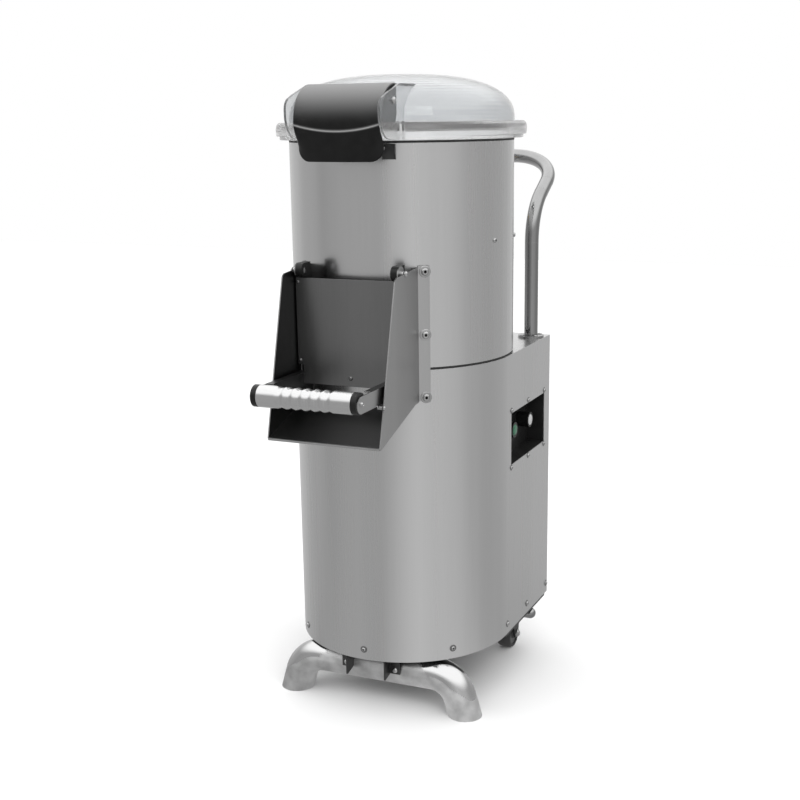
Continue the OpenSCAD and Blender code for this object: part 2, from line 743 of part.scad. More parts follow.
module door_seal() color("#1f1f1f") at_drum() difference() {
    block([-opening_x - seal_w + 2, opening_x + seal_w - 2], [-door_back, -neck_front - gap],
        [opening_low - seal_w + 2, opening_top + seal_w - 2]);
    opening_cut(-2);
}

module hinge_blocks() color("#161616") at_drum() both_sides()
    plate_x(lever_x - lever_t - block_t, lever_x - lever_t) difference() {
        union() {
            translate([hinge_y, hinge_z]) circle(eye_r);
            translate([hinge_y + 1, panel_top - 10]) square([block_deep, hinge_z - panel_top + 10 + eye_r]);
        }
        translate([hinge_y, hinge_z]) circle(hinge_pin_r + running_fit);
    }

// The grip is a turned tube whose middle is waved for the fingers
grip_waves = 6;
wave_l = 17;
module door_grip() color("gainsboro") at_drum() translate([0, -grip_reach, grip_z]) rotate([0, 90, 0]) {
    half = grip_waves * wave_l / 2;
    steps = grip_waves * 8;
    rotate_extrude() polygon(concat([[grip_r - 4, grip_x], [grip_r - 4, -grip_x], [grip_r, -grip_x]],
        [for (i = [0:steps]) let (x = -half + 2 * half * i / steps)
            [grip_r - 0.9 * (1 - cos(360 * i / 8)), x]],
        [[grip_r, grip_x]]));
}
module grip_caps() color("#141414") at_drum() both_sides() translate([0, -grip_reach, grip_z]) difference() {
    union() {
        rod_x(grip_r - 0.2, grip_x, lever_x - lever_t);
        rod_x(grip_r - 4, grip_x - 12, grip_x);
    }
    rod_x(3, grip_x - 20, big);
}
module grip_screws() color("gainsboro") at_drum() both_sides() translate([0, -grip_reach, grip_z]) {
    rod_x(3, grip_x - 12, lever_x);
    translate([lever_x, 0, 0]) rotate([0, 90, 0]) button_head(5);
}

module push_handle() color("silver") at_drum() {
    run = [["s", handle_leg], ["b", leg_bend, handle_lean, 0], ["s", handle_slope],
        ["b", corner_bend, 90, 90], ["s", 2 * (handle_x - corner_bend)], ["b", corner_bend, 90, 0],
        ["s", handle_slope], ["b", leg_bend, handle_lean, -90], ["s", handle_leg]];
    translate([handle_x, handle_y, housing_top_z]) rotate([0, 0, 90]) difference() {
        tube_run(run, handle_r);
        tube_run(run, handle_r - handle_wall);
    }
}
module handle_flanges() color("silver") at_drum() both_sides() translate([handle_x, handle_y, 0])
    ring(flange_r, handle_r, housing_top_z, housing_top_z + flange_t);

module recess_block(grow, deep, x_end) block([recess_x - deep, x_end],
    [recess_y - grow, recess_y + recess_l + grow], [recess_z - grow, recess_z + recess_h + grow]);
module control_box() color("#232425") at_drum() difference() {
    union() {
        recess_block(tub_t, tub_t, housing_in);
        intersection() {
            recess_block(14, 0, housing_in);
            block([housing_in - 1.5, housing_in], [2, housing_back - 4], [0, big]);
        }
    }
    recess_block(0, 0, big);
    for (s = [-1, 1]) translate([0, button_y + s * button_gap / 2, button_z]) rod_x(cap_r, 0, big);
}
// Collars of the two push buttons, each with its contact block behind the panel
module switch_collars() color("#1b1c1d") at_drum() for (s = [-1, 1])
    translate([0, button_y + s * button_gap / 2, button_z]) difference() {
        union() {
            rod_x(collar_r, recess_x, recess_x + collar_h);
            rod_x(cap_r, recess_x - tub_t - 22, recess_x);
        }
        rod_x(cap_r - 0.5, recess_x - tub_t - 4, big);
    }
module push_button(s) translate([0, button_y + s * button_gap / 2, button_z]) {
    rod_x(cap_r - 0.5 - gap, recess_x + button_travel + 1, recess_x + collar_h + 2);
}
module start_button() color("#2f6b4f") at_drum() push_button(-1);
module stop_button() color("gainsboro") at_drum() push_button(1);

module contactor() color("#e4e1d6") at_drum()
    block([recess_x - tub_t - 52, recess_x - tub_t], [button_y - 24, button_y + 24],
        [recess_z + recess_h - 30, recess_z + recess_h]);

module cable_gland() color("#1d1d1d") at_drum() translate([gland_x, housing_back - 12, gland_z])
    rotate([-90, 0, 0]) difference() {
        union() {
            cylinder(r = gland_r, h = 12 + cover_t);
            translate([0, 0, 12 + cover_t]) cylinder(r = gland_r + 4, h = 6, $fn = 6);
            translate([0, 0, 18 + cover_t]) cylinder(r1 = gland_r + 2, r2 = gland_r - 2, h = 14);
            translate([0, 0, 6]) cylinder(r = gland_r + 4, h = 6, $fn = 6);
        }
        translate([0, 0, -1]) cylinder(r = gland_r - 5, h = 60);
    }

module lid_gasket() color("#1c1c1c") at_drum() ring(drum_r, drum_r - 4, drum_top, drum_top + gasket_h);

// Dome of the lid, as a revolved superellipse drawn a given distance inside its outer face
dome_power = 2.55;
dome_r = drum_r + 1;
module dome(inset, low) {
    n = 20;
    r = dome_r - inset;
    h = dome_h - inset;
    translate([0, 0, rim_top]) rotate_extrude() polygon(concat([[0, -low], [r, -low]],
        [for (i = [0:n]) let (a = 90 * i / n)
            [r * pow(cos(a), 2 / dome_power), h * pow(sin(a), 2 / dome_power)]]));
}
module rim() translate([0, 0, lid_low]) rotate_extrude()
    polygon([[drum_r - 0.5, 0], [rim_r - 6.5, 0], [rim_r - 6.5, rim_h * 0.18], [rim_r - 1, rim_h * 0.22],
        [rim_r, rim_h * 0.6], [rim_r - 1.5, rim_h * 0.86], [rim_r - 5.5, rim_h], [dome_r - 1, rim_h],
        [dome_r - lid_wall, rim_h * 0.5]]);
// Side view of the hood's cheek, as (y, z): a sloping top, a rounded nose and a curved lower edge
module cheek_side() {
    polygon(concat([[-90, hood_top], [hood_front, hood_top], [cheek_nose + 26, hood_top - 16]],
        arc([cheek_nose + 20, hood_top - 40], 20, 105, 180),
        arc([cheek_nose + 40, lid_low + 42], 40, 180, 270), [[-90, lid_low + 2]]));
}
module lid() color([0.86, 0.9, 0.92, 0.4]) at_drum() difference() {
    union() {
        rim();
        dome(0, 1);
        both_sides() plate_x(cheek_in, cheek_x) cheek_side();
        block([-cheek_x, cheek_x], [hatch_y + 9, -90], [hood_top - lid_wall, hood_top]);
        both_sides() block([cheek_in, cheek_x + 9], [-hood_foot - 9, -hood_foot], [lid_low + 8, rim_top + 2]);
    }
    dome(lid_wall, 2);
    translate([0, 0, lid_low - 1]) cylinder(r = drum_r - 0.5, h = 2);
    translate([0, 0, lid_low - 1]) cylinder(r = dome_r - lid_wall, h = rim_h + 1);
    block([-cheek_in, cheek_in], [-rim_r - 80, -60], [rim_top, hood_top - lid_wall]);
    translate([0, pivot_y, pivot_z]) rod_x(pivot_r, -big / 2, big / 2);
}

module hatch_pivots() color("gainsboro") at_drum() both_sides() translate([0, pivot_y, pivot_z]) {
    rod_x(pivot_r, hatch_x - hatch_wall - 6, cheek_x);
    translate([cheek_x, 0, 0]) rotate([0, 90, 0]) button_head(5.5);
    rod_x(6, hatch_x - hatch_wall - 5, hatch_x - hatch_wall - gap);
}

// The feed hatch: a rounded front that turns about the pivots, an apron that follows
// the drum, and an ear on each side
module feed_hatch() color("#18191a") at_drum() {
    corner = 22;
    difference() {
        union() {
            intersection() {
                translate([0, hatch_y, hatch_z]) rod_x(hatch_r, -hatch_x, hatch_x);
                block([-hatch_x, hatch_x], [-big, hatch_y], [hatch_z - 14, 2 * big]);
            }
        }
        translate([0, hatch_y, hatch_z]) rod_x(hatch_r - hatch_wall, -hatch_x - 1, hatch_x + 1);
    }
    intersection() {
        ring(apron_r, apron_r - hatch_wall, apron_low, hatch_z - 6);
        translate([0, -drum_r, 0]) rotate([90, 0, 0]) linear_extrude(drum_r) {
            translate([-apron_x, apron_low + corner]) square([2 * apron_x, apron_h]);
            translate([-apron_x + corner, apron_low]) square([2 * (apron_x - corner), apron_h]);
            for (s = [-1, 1]) translate([s * (apron_x - corner), apron_low + corner]) circle(corner);
        }
    }
    intersection() {
        block([-hatch_x + 2, hatch_x - 2], [-apron_r, hatch_y - hatch_r + 14], [hatch_z - 12, hatch_z - 9]);
        cylinder(r = apron_r - 0.5, h = 2 * big);
    }
    both_sides() plate_x(hatch_x - hatch_wall, hatch_x) difference() {
        intersection() {
            translate([hatch_y, hatch_z]) circle(hatch_r);
            polygon([[hatch_y, hatch_z + hatch_r + 4], [hatch_y - hatch_r - 1, hatch_z + hatch_r + 4],
                [hatch_y - hatch_r - 1, hatch_z - 14], [hatch_y - hatch_r + 14, hatch_z - 14]]);
        }
        translate([pivot_y, pivot_z]) circle(pivot_r + running_fit);
    }
}

module abrasive_disc() color("#5b5a57") at_drum() difference() {
    union() {
        translate([0, 0, disc_low]) cylinder(r = disc_r, h = disc_t);
        for (a = [0:60:300]) rotate([0, 0, a]) translate([0, 0, disc_low + disc_t - 2])
            rod_x(wave_r, 34, disc_r - 2);
    }
    translate([0, 0, disc_low - 1]) cylinder(r = stud_r, h = 2 * disc_t);
}
module disc_shaft() color("silver") at_drum() {
    translate([0, 0, pulley_low - 8]) cylinder(r = shaft_r, h = disc_low - pulley_low + 8);
    translate([0, 0, disc_low]) cylinder(r = stud_r, h = disc_t + 8);
}
module disc_nut() color("silver") at_drum() translate([0, 0, disc_low + disc_t]) difference() {
    union() {
        cylinder(r = 16, h = 8);
        translate([0, 0, 8]) cylinder(r1 = 16, r2 = 8, h = 9);
    }
    translate([0, 0, -1]) cylinder(r = stud_r, h = 9);
}

front_foot();
foot_brackets();
foot_bolts();
base_frame();
rear_cross_tube();
wheel_forks();
wheel_axles();
wheel_hub_left();
wheel_hub_right();
wheel_tyre_left();
wheel_tyre_right();
lower_housing();
rear_cover();
housing_top();
casing_screws();
seam_ring();
drum();
drum_floor();
abrasive_liner();
discharge_neck();
drum_screws();
water_inlet();
drain_outlet();
bearing_housing();
shaft_bearings();
shaft_seal();
motor_bracket();
motor();
drive_belt();
chute();
chute_screws();
chute_pins();
lid_brackets();
push_handle();
handle_flanges();
control_box();
switch_collars();
contactor();
cable_gland();
lid_gasket();
abrasive_disc();
disc_shaft();
disc_pulley();
disc_nut();
motor_shaft();
motor_pulley();
door_panel();
door_seal();
door_levers();
door_grip();
grip_caps();
grip_screws();
hinge_blocks();
lid();
hatch_pivots();
feed_hatch();
start_button();
stop_button();
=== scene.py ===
"""Finishes a floor-standing potato peeler: sheet steel, castings, rubber and clear plastic,
with a studio floor, lights and a camera."""

import json
import math

import bmesh
import bpy
import numpy as np
from mathutils import Matrix, Vector


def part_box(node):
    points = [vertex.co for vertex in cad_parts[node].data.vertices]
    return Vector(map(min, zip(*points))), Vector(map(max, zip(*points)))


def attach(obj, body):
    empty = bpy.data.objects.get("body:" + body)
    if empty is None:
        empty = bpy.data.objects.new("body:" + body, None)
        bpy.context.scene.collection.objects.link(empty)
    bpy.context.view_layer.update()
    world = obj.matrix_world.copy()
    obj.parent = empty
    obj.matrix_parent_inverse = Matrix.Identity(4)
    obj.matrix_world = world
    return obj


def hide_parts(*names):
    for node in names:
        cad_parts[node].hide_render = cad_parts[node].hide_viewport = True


bl_info = {
    "name": "Potato Peeler Finisher",
    "version": (1, 0, 0),
    "blender": (4, 5, 0),
    "location": "View3D > Sidebar > Peeler",
    "description": "Dresses a packed potato peeler with metal, rubber and clear plastic finishes",
    "category": "Object",
}

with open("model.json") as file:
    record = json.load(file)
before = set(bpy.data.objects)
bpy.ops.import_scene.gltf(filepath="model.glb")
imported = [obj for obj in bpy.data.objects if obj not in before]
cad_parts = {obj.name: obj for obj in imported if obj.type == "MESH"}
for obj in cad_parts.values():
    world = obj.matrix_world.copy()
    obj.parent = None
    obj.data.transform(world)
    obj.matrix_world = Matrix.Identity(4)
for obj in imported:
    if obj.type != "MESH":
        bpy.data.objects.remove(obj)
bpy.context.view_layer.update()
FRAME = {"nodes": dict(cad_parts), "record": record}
NODES = FRAME["nodes"]
TAU = 2 * math.pi

# Lengths are in metres and angles in radians. The drum's axis stands this far behind the middle of
# the whole machine
DRUM_Y = 0.003625

# Cast foot, along the centre line of its arch
BEAM_HEIGHT = 0.072
FOOT_REACH = 0.172
FOOT_BEND = 0.055
FOOT_SPLAY = math.radians(16)

# Heights of the lid's frosted rim over its lower edge, and of the band that fades into the clear dome
RIM_HEIGHT = 0.0282
RIM_FADE = 0.0025

# Brush lines in a metre of sheet, the wide bands along them, and how deep the lines are
BRUSH_LINES = 420.0
BRUSH_BANDS = 14.0
BRUSH_DEPTH = 0.0004

# Rounding that catches light at the corners of sheet metal and of mouldings
SHEET_EDGE = 0.0006
MOULDED_EDGE = 0.0008

# Directions in which a finish is drawn out: down a tall sheet, down a small one, and round a turned bar
DOWN_SHEET = (1, 1, 0.015)
DOWN_PANEL = (1, 1, 0.05)
ROUND_BAR = (0.05, 1, 1)

# The studio's grey by azimuth in degrees: 0 looks out of the machine's front and 90 to its left
ROOM_GREYS = (
    (-180, 0.80), (-156, 0.93), (-144, 0.80), (-112, 0.66), (-96, 0.55), (-80, 0.52), (-64, 0.45),
    (-32, 0.50), (-16, 0.50), (0, 0.47), (16, 0.60), (32, 0.75), (48, 0.70), (64, 0.69),
    (80, 0.62), (96, 0.50), (120, 0.47), (144, 0.50), (156, 0.58), (170, 0.62), (180, 0.78),
)
CEILING_GREY = 1.65

# Lamps: name, place, side and power in watts
LAMPS = (("Key", (2.2, -2.4, 2.6), 1.6, 30), ("Fill", (-2.6, -1.8, 2.0), 1.8, 12))
LAMP_TARGET = (0, 0, 0.6)

# The camera's lens in millimetres, its shift, its place and its three directions
CAMERA_LENS = 57.54
CAMERA_SHIFT = (-0.025, 0.0375)
CAMERA_PLACE = (0.95504, -2.1313 + DRUM_Y, 1.06263)
CAMERA_RIGHT = (0.91820748, 0.39592294, -0.01183417)
CAMERA_UP = (-0.08428431, 0.22448658, 0.97082539)
CAMERA_AHEAD = (-0.38702865, 0.8904217, -0.23949535)


# ---------------------------------------------------------------- surfaces


def grid_quads(rows, columns, ring, start):
    """Quads between the points of a grid; a ring joins its last column to its first."""
    i = np.arange(rows - 1)[:, None]
    j = np.arange(columns if ring else columns - 1)[None, :]
    k = (j + 1) % columns
    corners = (i * columns + j, i * columns + k, (i + 1) * columns + k, (i + 1) * columns + j)
    return start + np.stack(corners, -1).reshape(-1, 4)


def build_surface(name, grids, ring=True, sharp=35.0, masks=None, facing=None):
    """One object from grids of points in metres. Seams and poles are merged and faces turned outwards;
    an open sheet looks along facing. masks holds a number per point, kept as the attribute mask."""
    points, quads, start = [], [], 0
    for grid in grids:
        rows, columns = grid.shape[:2]
        points.append(grid.reshape(-1, 3))
        quads.append(grid_quads(rows, columns, ring, start))
        start += rows * columns
    mesh = bpy.data.meshes.new(name)
    mesh.from_pydata(np.concatenate(points), [], np.concatenate(quads))
    if masks is not None:
        values = np.concatenate([mask.ravel() for mask in masks])
        layer = mesh.attributes.new("mask", "FLOAT", "POINT")
        layer.data.foreach_set("value", values.astype(np.float32))
    work = bmesh.new()
    work.from_mesh(mesh)
    bmesh.ops.remove_doubles(work, verts=work.verts, dist=1e-6)
    bmesh.ops.recalc_face_normals(work, faces=work.faces)
    if facing is not None:
        outlook = sum((face.normal * face.calc_area() for face in work.faces), Vector())
        if outlook.dot(facing) < 0:
            bmesh.ops.reverse_faces(work, faces=work.faces)
    work.to_mesh(mesh)
    work.free()
    mesh.polygons.foreach_set("use_smooth", np.ones(len(mesh.polygons), bool))
    mesh.set_sharp_from_angle(angle=math.radians(sharp))
    piece = bpy.data.objects.new(name, mesh)
    bpy.context.scene.collection.objects.link(piece)
    return piece


def dress(piece, body, slot, *nodes):
    """Makes a piece ride on its body, take the finish of its slot and stand for its CAD nodes."""
    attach(piece, body)
    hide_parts(*nodes)
    piece.data.materials.append(finish(slot))


def smooth_step(low, high, value):
    """0 below low, 1 above high, and an S curve between them."""
    t = np.clip((value - low) / (high - low), 0, 1)
    return t * t * (3 - 2 * t)


def revolve(profile, centre, axis, steps=48, shape=None):
    """Profile points (radius, height) carried round an axis through centre. shape(angle, radius) may
    change the radius with the angle."""
    axis = np.array(axis, float) / np.linalg.norm(axis)
    side = np.cross(axis, (0, 0, 1) if abs(axis[2]) < 0.9 else (0, 1, 0))
    side /= np.linalg.norm(side)
    other = np.cross(axis, side)
    radius, height = np.array(profile, float).T[:, :, None]
    angle = np.linspace(0, TAU, steps, endpoint=False)[None, :]
    radius = radius + 0 * angle if shape is None else shape(angle, radius)
    spoke = np.cos(angle)[..., None] * side + np.sin(angle)[..., None] * other
    return np.array(centre, float) + radius[..., None] * spoke + (height + 0 * angle)[..., None] * axis


def loose_solids(node):
    """The separate solids of a CAD node, each as an array of its points: the lowest point number is
    spread along the edges until nothing changes."""
    mesh = NODES[node].data
    points = np.empty(len(mesh.vertices) * 3)
    mesh.vertices.foreach_get("co", points)
    edges = np.empty(len(mesh.edges) * 2, np.int32)
    mesh.edges.foreach_get("vertices", edges)
    spots, number = np.unique(np.round(points.reshape(-1, 3), 6), axis=0, return_inverse=True)
    a, b = number.ravel()[edges.reshape(-1, 2)].T
    label = np.arange(len(spots))
    changed = True
    while changed:
        fresh, low = label.copy(), np.minimum(label[a], label[b])
        np.minimum.at(fresh, a, low)
        np.minimum.at(fresh, b, low)
        fresh = fresh[fresh]
        changed = (fresh != label).any()
        label = fresh
    return [spots[label == value] for value in np.unique(label)]


def head_frame(points):
    """Foot centre, outward axis, radius and height of a screw head. Its symmetry axis is the direction
    whose spread differs from the other two, and its narrow end points outwards."""
    end = 1e-4
    middle = (points.min(0) + points.max(0)) / 2
    spread, directions = np.linalg.eigh(np.cov((points - middle).T))
    axis = directions[:, 0 if spread[1] - spread[0] > spread[2] - spread[1] else 2]
    along = (points - middle) @ axis
    away = np.linalg.norm(points - middle - along[:, None] * axis, axis=1)
    if away[along > along.max() - end].max() > away[along < along.min() + end].max():
        axis, along = -axis, -along
    return middle + axis * along.min(), axis, away.max(), np.ptp(along)


def socket_head(centre, axis, radius, height):
    """A button head with a hexagon socket, and a mask that paints shade on the socket's floor. Up to 0.42
    of the head's radius, where the socket ends, the circle r becomes the hexagon r cos(30) / cos(turn)."""
    across = radius * 0.42
    profile = [
        (0, 0.35 * height), (across, 0.4 * height), (across, 0.97 * height), (across * 1.25, height),
        (0.7 * radius, 0.93 * height), (0.9 * radius, 0.68 * height), (radius, 0.32 * height),
        (radius, 0), (0, 0),
    ]

    def hexagon(angle, ring):
        turn = (angle + TAU / 12) % (TAU / 6) - TAU / 12
        flat = ring * math.cos(TAU / 12) / np.cos(turn)
        return np.where(ring <= across * 1.001, flat, ring + 0 * angle)

    head = revolve(profile, centre, axis, 24, hexagon)
    mask = np.zeros(head.shape[:2])
    # Painted shade on the socket's floor: its first two rows are marked for the dark colour.
    mask[:2] = 1
    return head, mask


def washer(centre, axis, radius, height):
    """A flat ring under a head, with a sloping edge; its rows close on themselves."""
    hole = radius * 0.6
    profile = [
        (hole, 0), (hole, height), (radius - height, height), (radius, height / 2), (radius, 0), (hole, 0),
    ]
    return revolve(profile, centre, axis, 32)


# ---------------------------------------------------------------- shader helpers


def new_material(name):
    """A material with one Principled BSDF at its output; returns (material, node tree, shader)."""
    material = bpy.data.materials.new(name)
    material.use_nodes = True
    tree = material.node_tree
    tree.nodes.clear()
    output = tree.nodes.new("ShaderNodeOutputMaterial")
    shader = tree.nodes.new("ShaderNodeBsdfPrincipled")
    tree.links.new(shader.outputs["BSDF"], output.inputs["Surface"])
    return material, tree, shader


def place_coordinates(tree, scale=(1, 1, 1)):
    """Object coordinates through a Mapping node."""
    where = tree.nodes.new("ShaderNodeTexCoord")
    mapping = tree.nodes.new("ShaderNodeMapping")
    mapping.inputs["Scale"].default_value = scale
    tree.links.new(where.outputs["Object"], mapping.inputs["Vector"])
    return mapping.outputs["Vector"]


def grey(level):
    """A grey of one level in all three channels; above 1 it glows."""
    return (level, level, level)


def mix_node(tree, kind="RGBA"):
    """A Mix node for colours or, with FLOAT, for numbers."""
    node = tree.nodes.new("ShaderNodeMix")
    node.data_type = kind
    return node


def math_node(tree, operation, *constants):
    """A Math node; constants are pairs of an input's number and its value."""
    node = tree.nodes.new("ShaderNodeMath")
    node.operation = operation
    for number, value in constants:
        node.inputs[number].default_value = value
    return node


def range_node(tree, source=(0.0, 1.0), target=(0.0, 1.0)):
    """A Map Range node from one span of values to another."""
    node = tree.nodes.new("ShaderNodeMapRange")
    node.inputs["From Min"].default_value, node.inputs["From Max"].default_value = source
    node.inputs["To Min"].default_value, node.inputs["To Max"].default_value = target
    return node


def new_group(name, inputs, outputs):
    """An empty shader node group with named sockets; returns (group, input node, output node)."""
    group = bpy.data.node_groups.new(name, "ShaderNodeTree")
    for label, kind, value in inputs:
        socket = group.interface.new_socket(label, in_out="INPUT", socket_type=kind)
        socket.default_value = value
    for label, kind in outputs:
        group.interface.new_socket(label, in_out="OUTPUT", socket_type=kind)
    return group, group.nodes.new("NodeGroupInput"), group.nodes.new("NodeGroupOutput")


def build_grain_group():
    """Fine brush lines with wide, soft bands along them. Height feeds a bump, Tone goes from 0 to 1."""
    group, source, sink = new_group(
        "Brushed grain",
        [
            ("Vector", "NodeSocketVector", (0, 0, 0)),
            ("Line Scale", "NodeSocketFloat", BRUSH_LINES),
            ("Band Scale", "NodeSocketFloat", BRUSH_BANDS),
        ],
        [("Height", "NodeSocketFloat"), ("Tone", "NodeSocketFloat")],
    )
    link = group.links.new
    lines = group.nodes.new("ShaderNodeTexNoise")
    lines.inputs["Detail"].default_value = 5
    lines.inputs["Roughness"].default_value = 0.65
    link(source.outputs["Vector"], lines.inputs["Vector"])
    link(source.outputs["Line Scale"], lines.inputs["Scale"])
    bands = group.nodes.new("ShaderNodeTexNoise")
    bands.inputs["Detail"].default_value = 3
    link(source.outputs["Vector"], bands.inputs["Vector"])
    link(source.outputs["Band Scale"], bands.inputs["Scale"])
    blend = math_node(group, "MULTIPLY_ADD", (1, 0.75))
    link(bands.outputs["Fac"], blend.inputs[0])
    part = math_node(group, "MULTIPLY", (1, 0.25))
    link(lines.outputs["Fac"], part.inputs[0])
    link(part.outputs["Value"], blend.inputs[2])
    link(lines.outputs["Fac"], sink.inputs["Height"])
    link(blend.outputs["Value"], sink.inputs["Tone"])
    return group


def build_mottle_group():
    """Two sizes of speckle for castings, rubber and grit. Height and Tone go from 0 to 1."""
    group, source, sink = new_group(
        "Mottle",
        [("Coarse", "NodeSocketFloat", 40.0), ("Fine", "NodeSocketFloat", 300.0)],
        [("Height", "NodeSocketFloat"), ("Tone", "NodeSocketFloat")],
    )
    link = group.links.new
    where = group.nodes.new("ShaderNodeTexCoord")
    coarse = group.nodes.new("ShaderNodeTexNoise")
    fine = group.nodes.new("ShaderNodeTexNoise")
    for node, label in ((coarse, "Coarse"), (fine, "Fine")):
        node.inputs["Detail"].default_value = 4
        link(where.outputs["Object"], node.inputs["Vector"])
        link(source.outputs[label], node.inputs["Scale"])
    link(coarse.outputs["Fac"], sink.inputs["Tone"])
    link(fine.outputs["Fac"], sink.inputs["Height"])
    return group


def build_shades_group():
    """The studio's greys round the machine. The direction of Vector, seen from above, picks the grey."""
    group, source, sink = new_group(
        "Room shades", [("Vector", "NodeSocketVector", (0, 0, 0))], [("Color", "NodeSocketColor")])
    link = group.links.new
    split = group.nodes.new("ShaderNodeSeparateXYZ")
    link(source.outputs["Vector"], split.inputs["Vector"])
    back = math_node(group, "MULTIPLY", (1, -1))
    link(split.outputs["Y"], back.inputs[0])
    angle = math_node(group, "ARCTAN2")
    link(split.outputs["X"], angle.inputs[0])
    link(back.outputs["Value"], angle.inputs[1])
    turn = range_node(group, (-math.pi, math.pi))
    link(angle.outputs["Value"], turn.inputs["Value"])
    ramp = group.nodes.new("ShaderNodeValToRGB")
    ramp.color_ramp.interpolation = "EASE"
    elements = ramp.color_ramp.elements
    elements.remove(elements[1])
    elements[0].position, elements[0].color = 0.0, (*grey(ROOM_GREYS[0][1]), 1)
    for azimuth, value in ROOM_GREYS[1:]:
        elements.new((azimuth + 180) / 360).color = (*grey(value), 1)
    link(turn.outputs["Result"], ramp.inputs["Fac"])
    link(ramp.outputs["Color"], sink.inputs["Color"])
    return group


GROUPS = {}
BUILDERS = {"grain": build_grain_group, "mottle": build_mottle_group, "shades": build_shades_group}


def add_group(tree, name):
    """Places one of the shared node groups in a material, building it the first time."""
    if name not in GROUPS:
        GROUPS[name] = BUILDERS[name]()
    node = tree.nodes.new("ShaderNodeGroup")
    node.node_tree = GROUPS[name]
    return node


def tone_colour(tree, shader, tone, dark, light):
    """Mixes two colours by a tone into the shader's base colour. Noise keeps between 0.35 and 0.65 for
    the most part; returns that span spread out from 0 to 1."""
    spread = range_node(tree, (0.35, 0.65))
    tree.links.new(tone, spread.inputs["Value"])
    blend = mix_node(tree)
    blend.inputs["A"].default_value = (*dark, 1)
    blend.inputs["B"].default_value = (*light, 1)
    tree.links.new(spread.outputs["Result"], blend.inputs["Factor"])
    tree.links.new(blend.outputs["Result"], shader.inputs["Base Color"])
    return spread.outputs["Result"]


def cover_colour(tree, shader, amount, colour):
    """Mixes one more colour over the shader's base colour where amount is 1."""
    blend = mix_node(tree)
    tree.links.new(shader.inputs["Base Color"].links[0].from_socket, blend.inputs["A"])
    blend.inputs["B"].default_value = (*colour, 1)
    tree.links.new(amount, blend.inputs["Factor"])
    tree.links.new(blend.outputs["Result"], shader.inputs["Base Color"])


def vary_roughness(tree, shader, tone, rough):
    """Runs the shader's roughness between two values by a tone from 0 to 1."""
    spread = range_node(tree, target=rough)
    tree.links.new(tone, spread.inputs["Value"])
    tree.links.new(spread.outputs["Result"], shader.inputs["Roughness"])


def add_bump(tree, shader, height, strength, distance, edge=0.0):
    """Bump from a height; with an edge, corners catch light as if rounded to that radius."""
    bump = tree.nodes.new("ShaderNodeBump")
    bump.inputs["Strength"].default_value = strength
    bump.inputs["Distance"].default_value = distance
    tree.links.new(height, bump.inputs["Height"])
    if edge:
        rounding = tree.nodes.new("ShaderNodeBevel")
        rounding.samples = 4
        rounding.inputs["Radius"].default_value = edge
        tree.links.new(rounding.outputs["Normal"], bump.inputs["Normal"])
    tree.links.new(bump.outputs["Normal"], shader.inputs["Normal"])


def brushed_metal(name, dark, light, rough, stretch, strength=0.12):
    """Brushed sheet: noise stretched along the brushing direction, with wide, soft bands."""
    material, tree, shader = new_material(name)
    grain = add_group(tree, "grain")
    tree.links.new(place_coordinates(tree, stretch), grain.inputs["Vector"])
    shader.inputs["Metallic"].default_value = 1.0
    tone = tone_colour(tree, shader, grain.outputs["Tone"], dark, light)
    vary_roughness(tree, shader, tone, rough)
    add_bump(tree, shader, grain.outputs["Height"], strength, BRUSH_DEPTH, SHEET_EDGE)
    return material


def mottled(name, dark, light, rough, metallic=0.0, coarse=40.0, fine=300.0, strength=0.2, depth=0.0005,
            specular=0.5, edge=0.0):
    """Cast, moulded or painted surface with two sizes of speckle."""
    material, tree, shader = new_material(name)
    speckle = add_group(tree, "mottle")
    speckle.inputs["Coarse"].default_value = coarse
    speckle.inputs["Fine"].default_value = fine
    shader.inputs["Metallic"].default_value = metallic
    shader.inputs["Specular IOR Level"].default_value = specular
    tone = tone_colour(tree, shader, speckle.outputs["Tone"], dark, light)
    vary_roughness(tree, shader, tone, rough)
    add_bump(tree, shader, speckle.outputs["Height"], strength, depth, edge)
    return material


def masked(name, base, marked, rough, marked_rough, metallic=1.0, coarse=30.0, fine=420.0, strength=0.12,
           depth=0.0004, specular=0.5):
    """A speckled surface that changes colour and roughness where the piece's mask is 1. base holds a dark
    and a light colour, marked one colour."""
    material, tree, shader = new_material(name)
    shader.inputs["Metallic"].default_value = metallic
    shader.inputs["Specular IOR Level"].default_value = specular
    speckle = add_group(tree, "mottle")
    speckle.inputs["Coarse"].default_value = coarse
    speckle.inputs["Fine"].default_value = fine
    mask = tree.nodes.new("ShaderNodeAttribute")
    mask.attribute_name = "mask"
    tone = tone_colour(tree, shader, speckle.outputs["Tone"], *base)
    cover_colour(tree, shader, mask.outputs["Fac"], marked)
    vary_roughness(tree, shader, tone, rough)
    gloss = mix_node(tree, "FLOAT")
    tree.links.new(shader.inputs["Roughness"].links[0].from_socket, gloss.inputs["A"])
    gloss.inputs["B"].default_value = marked_rough
    tree.links.new(mask.outputs["Fac"], gloss.inputs["Factor"])
    tree.links.new(gloss.outputs["Result"], shader.inputs["Roughness"])
    add_bump(tree, shader, speckle.outputs["Height"], strength, depth)
    return material


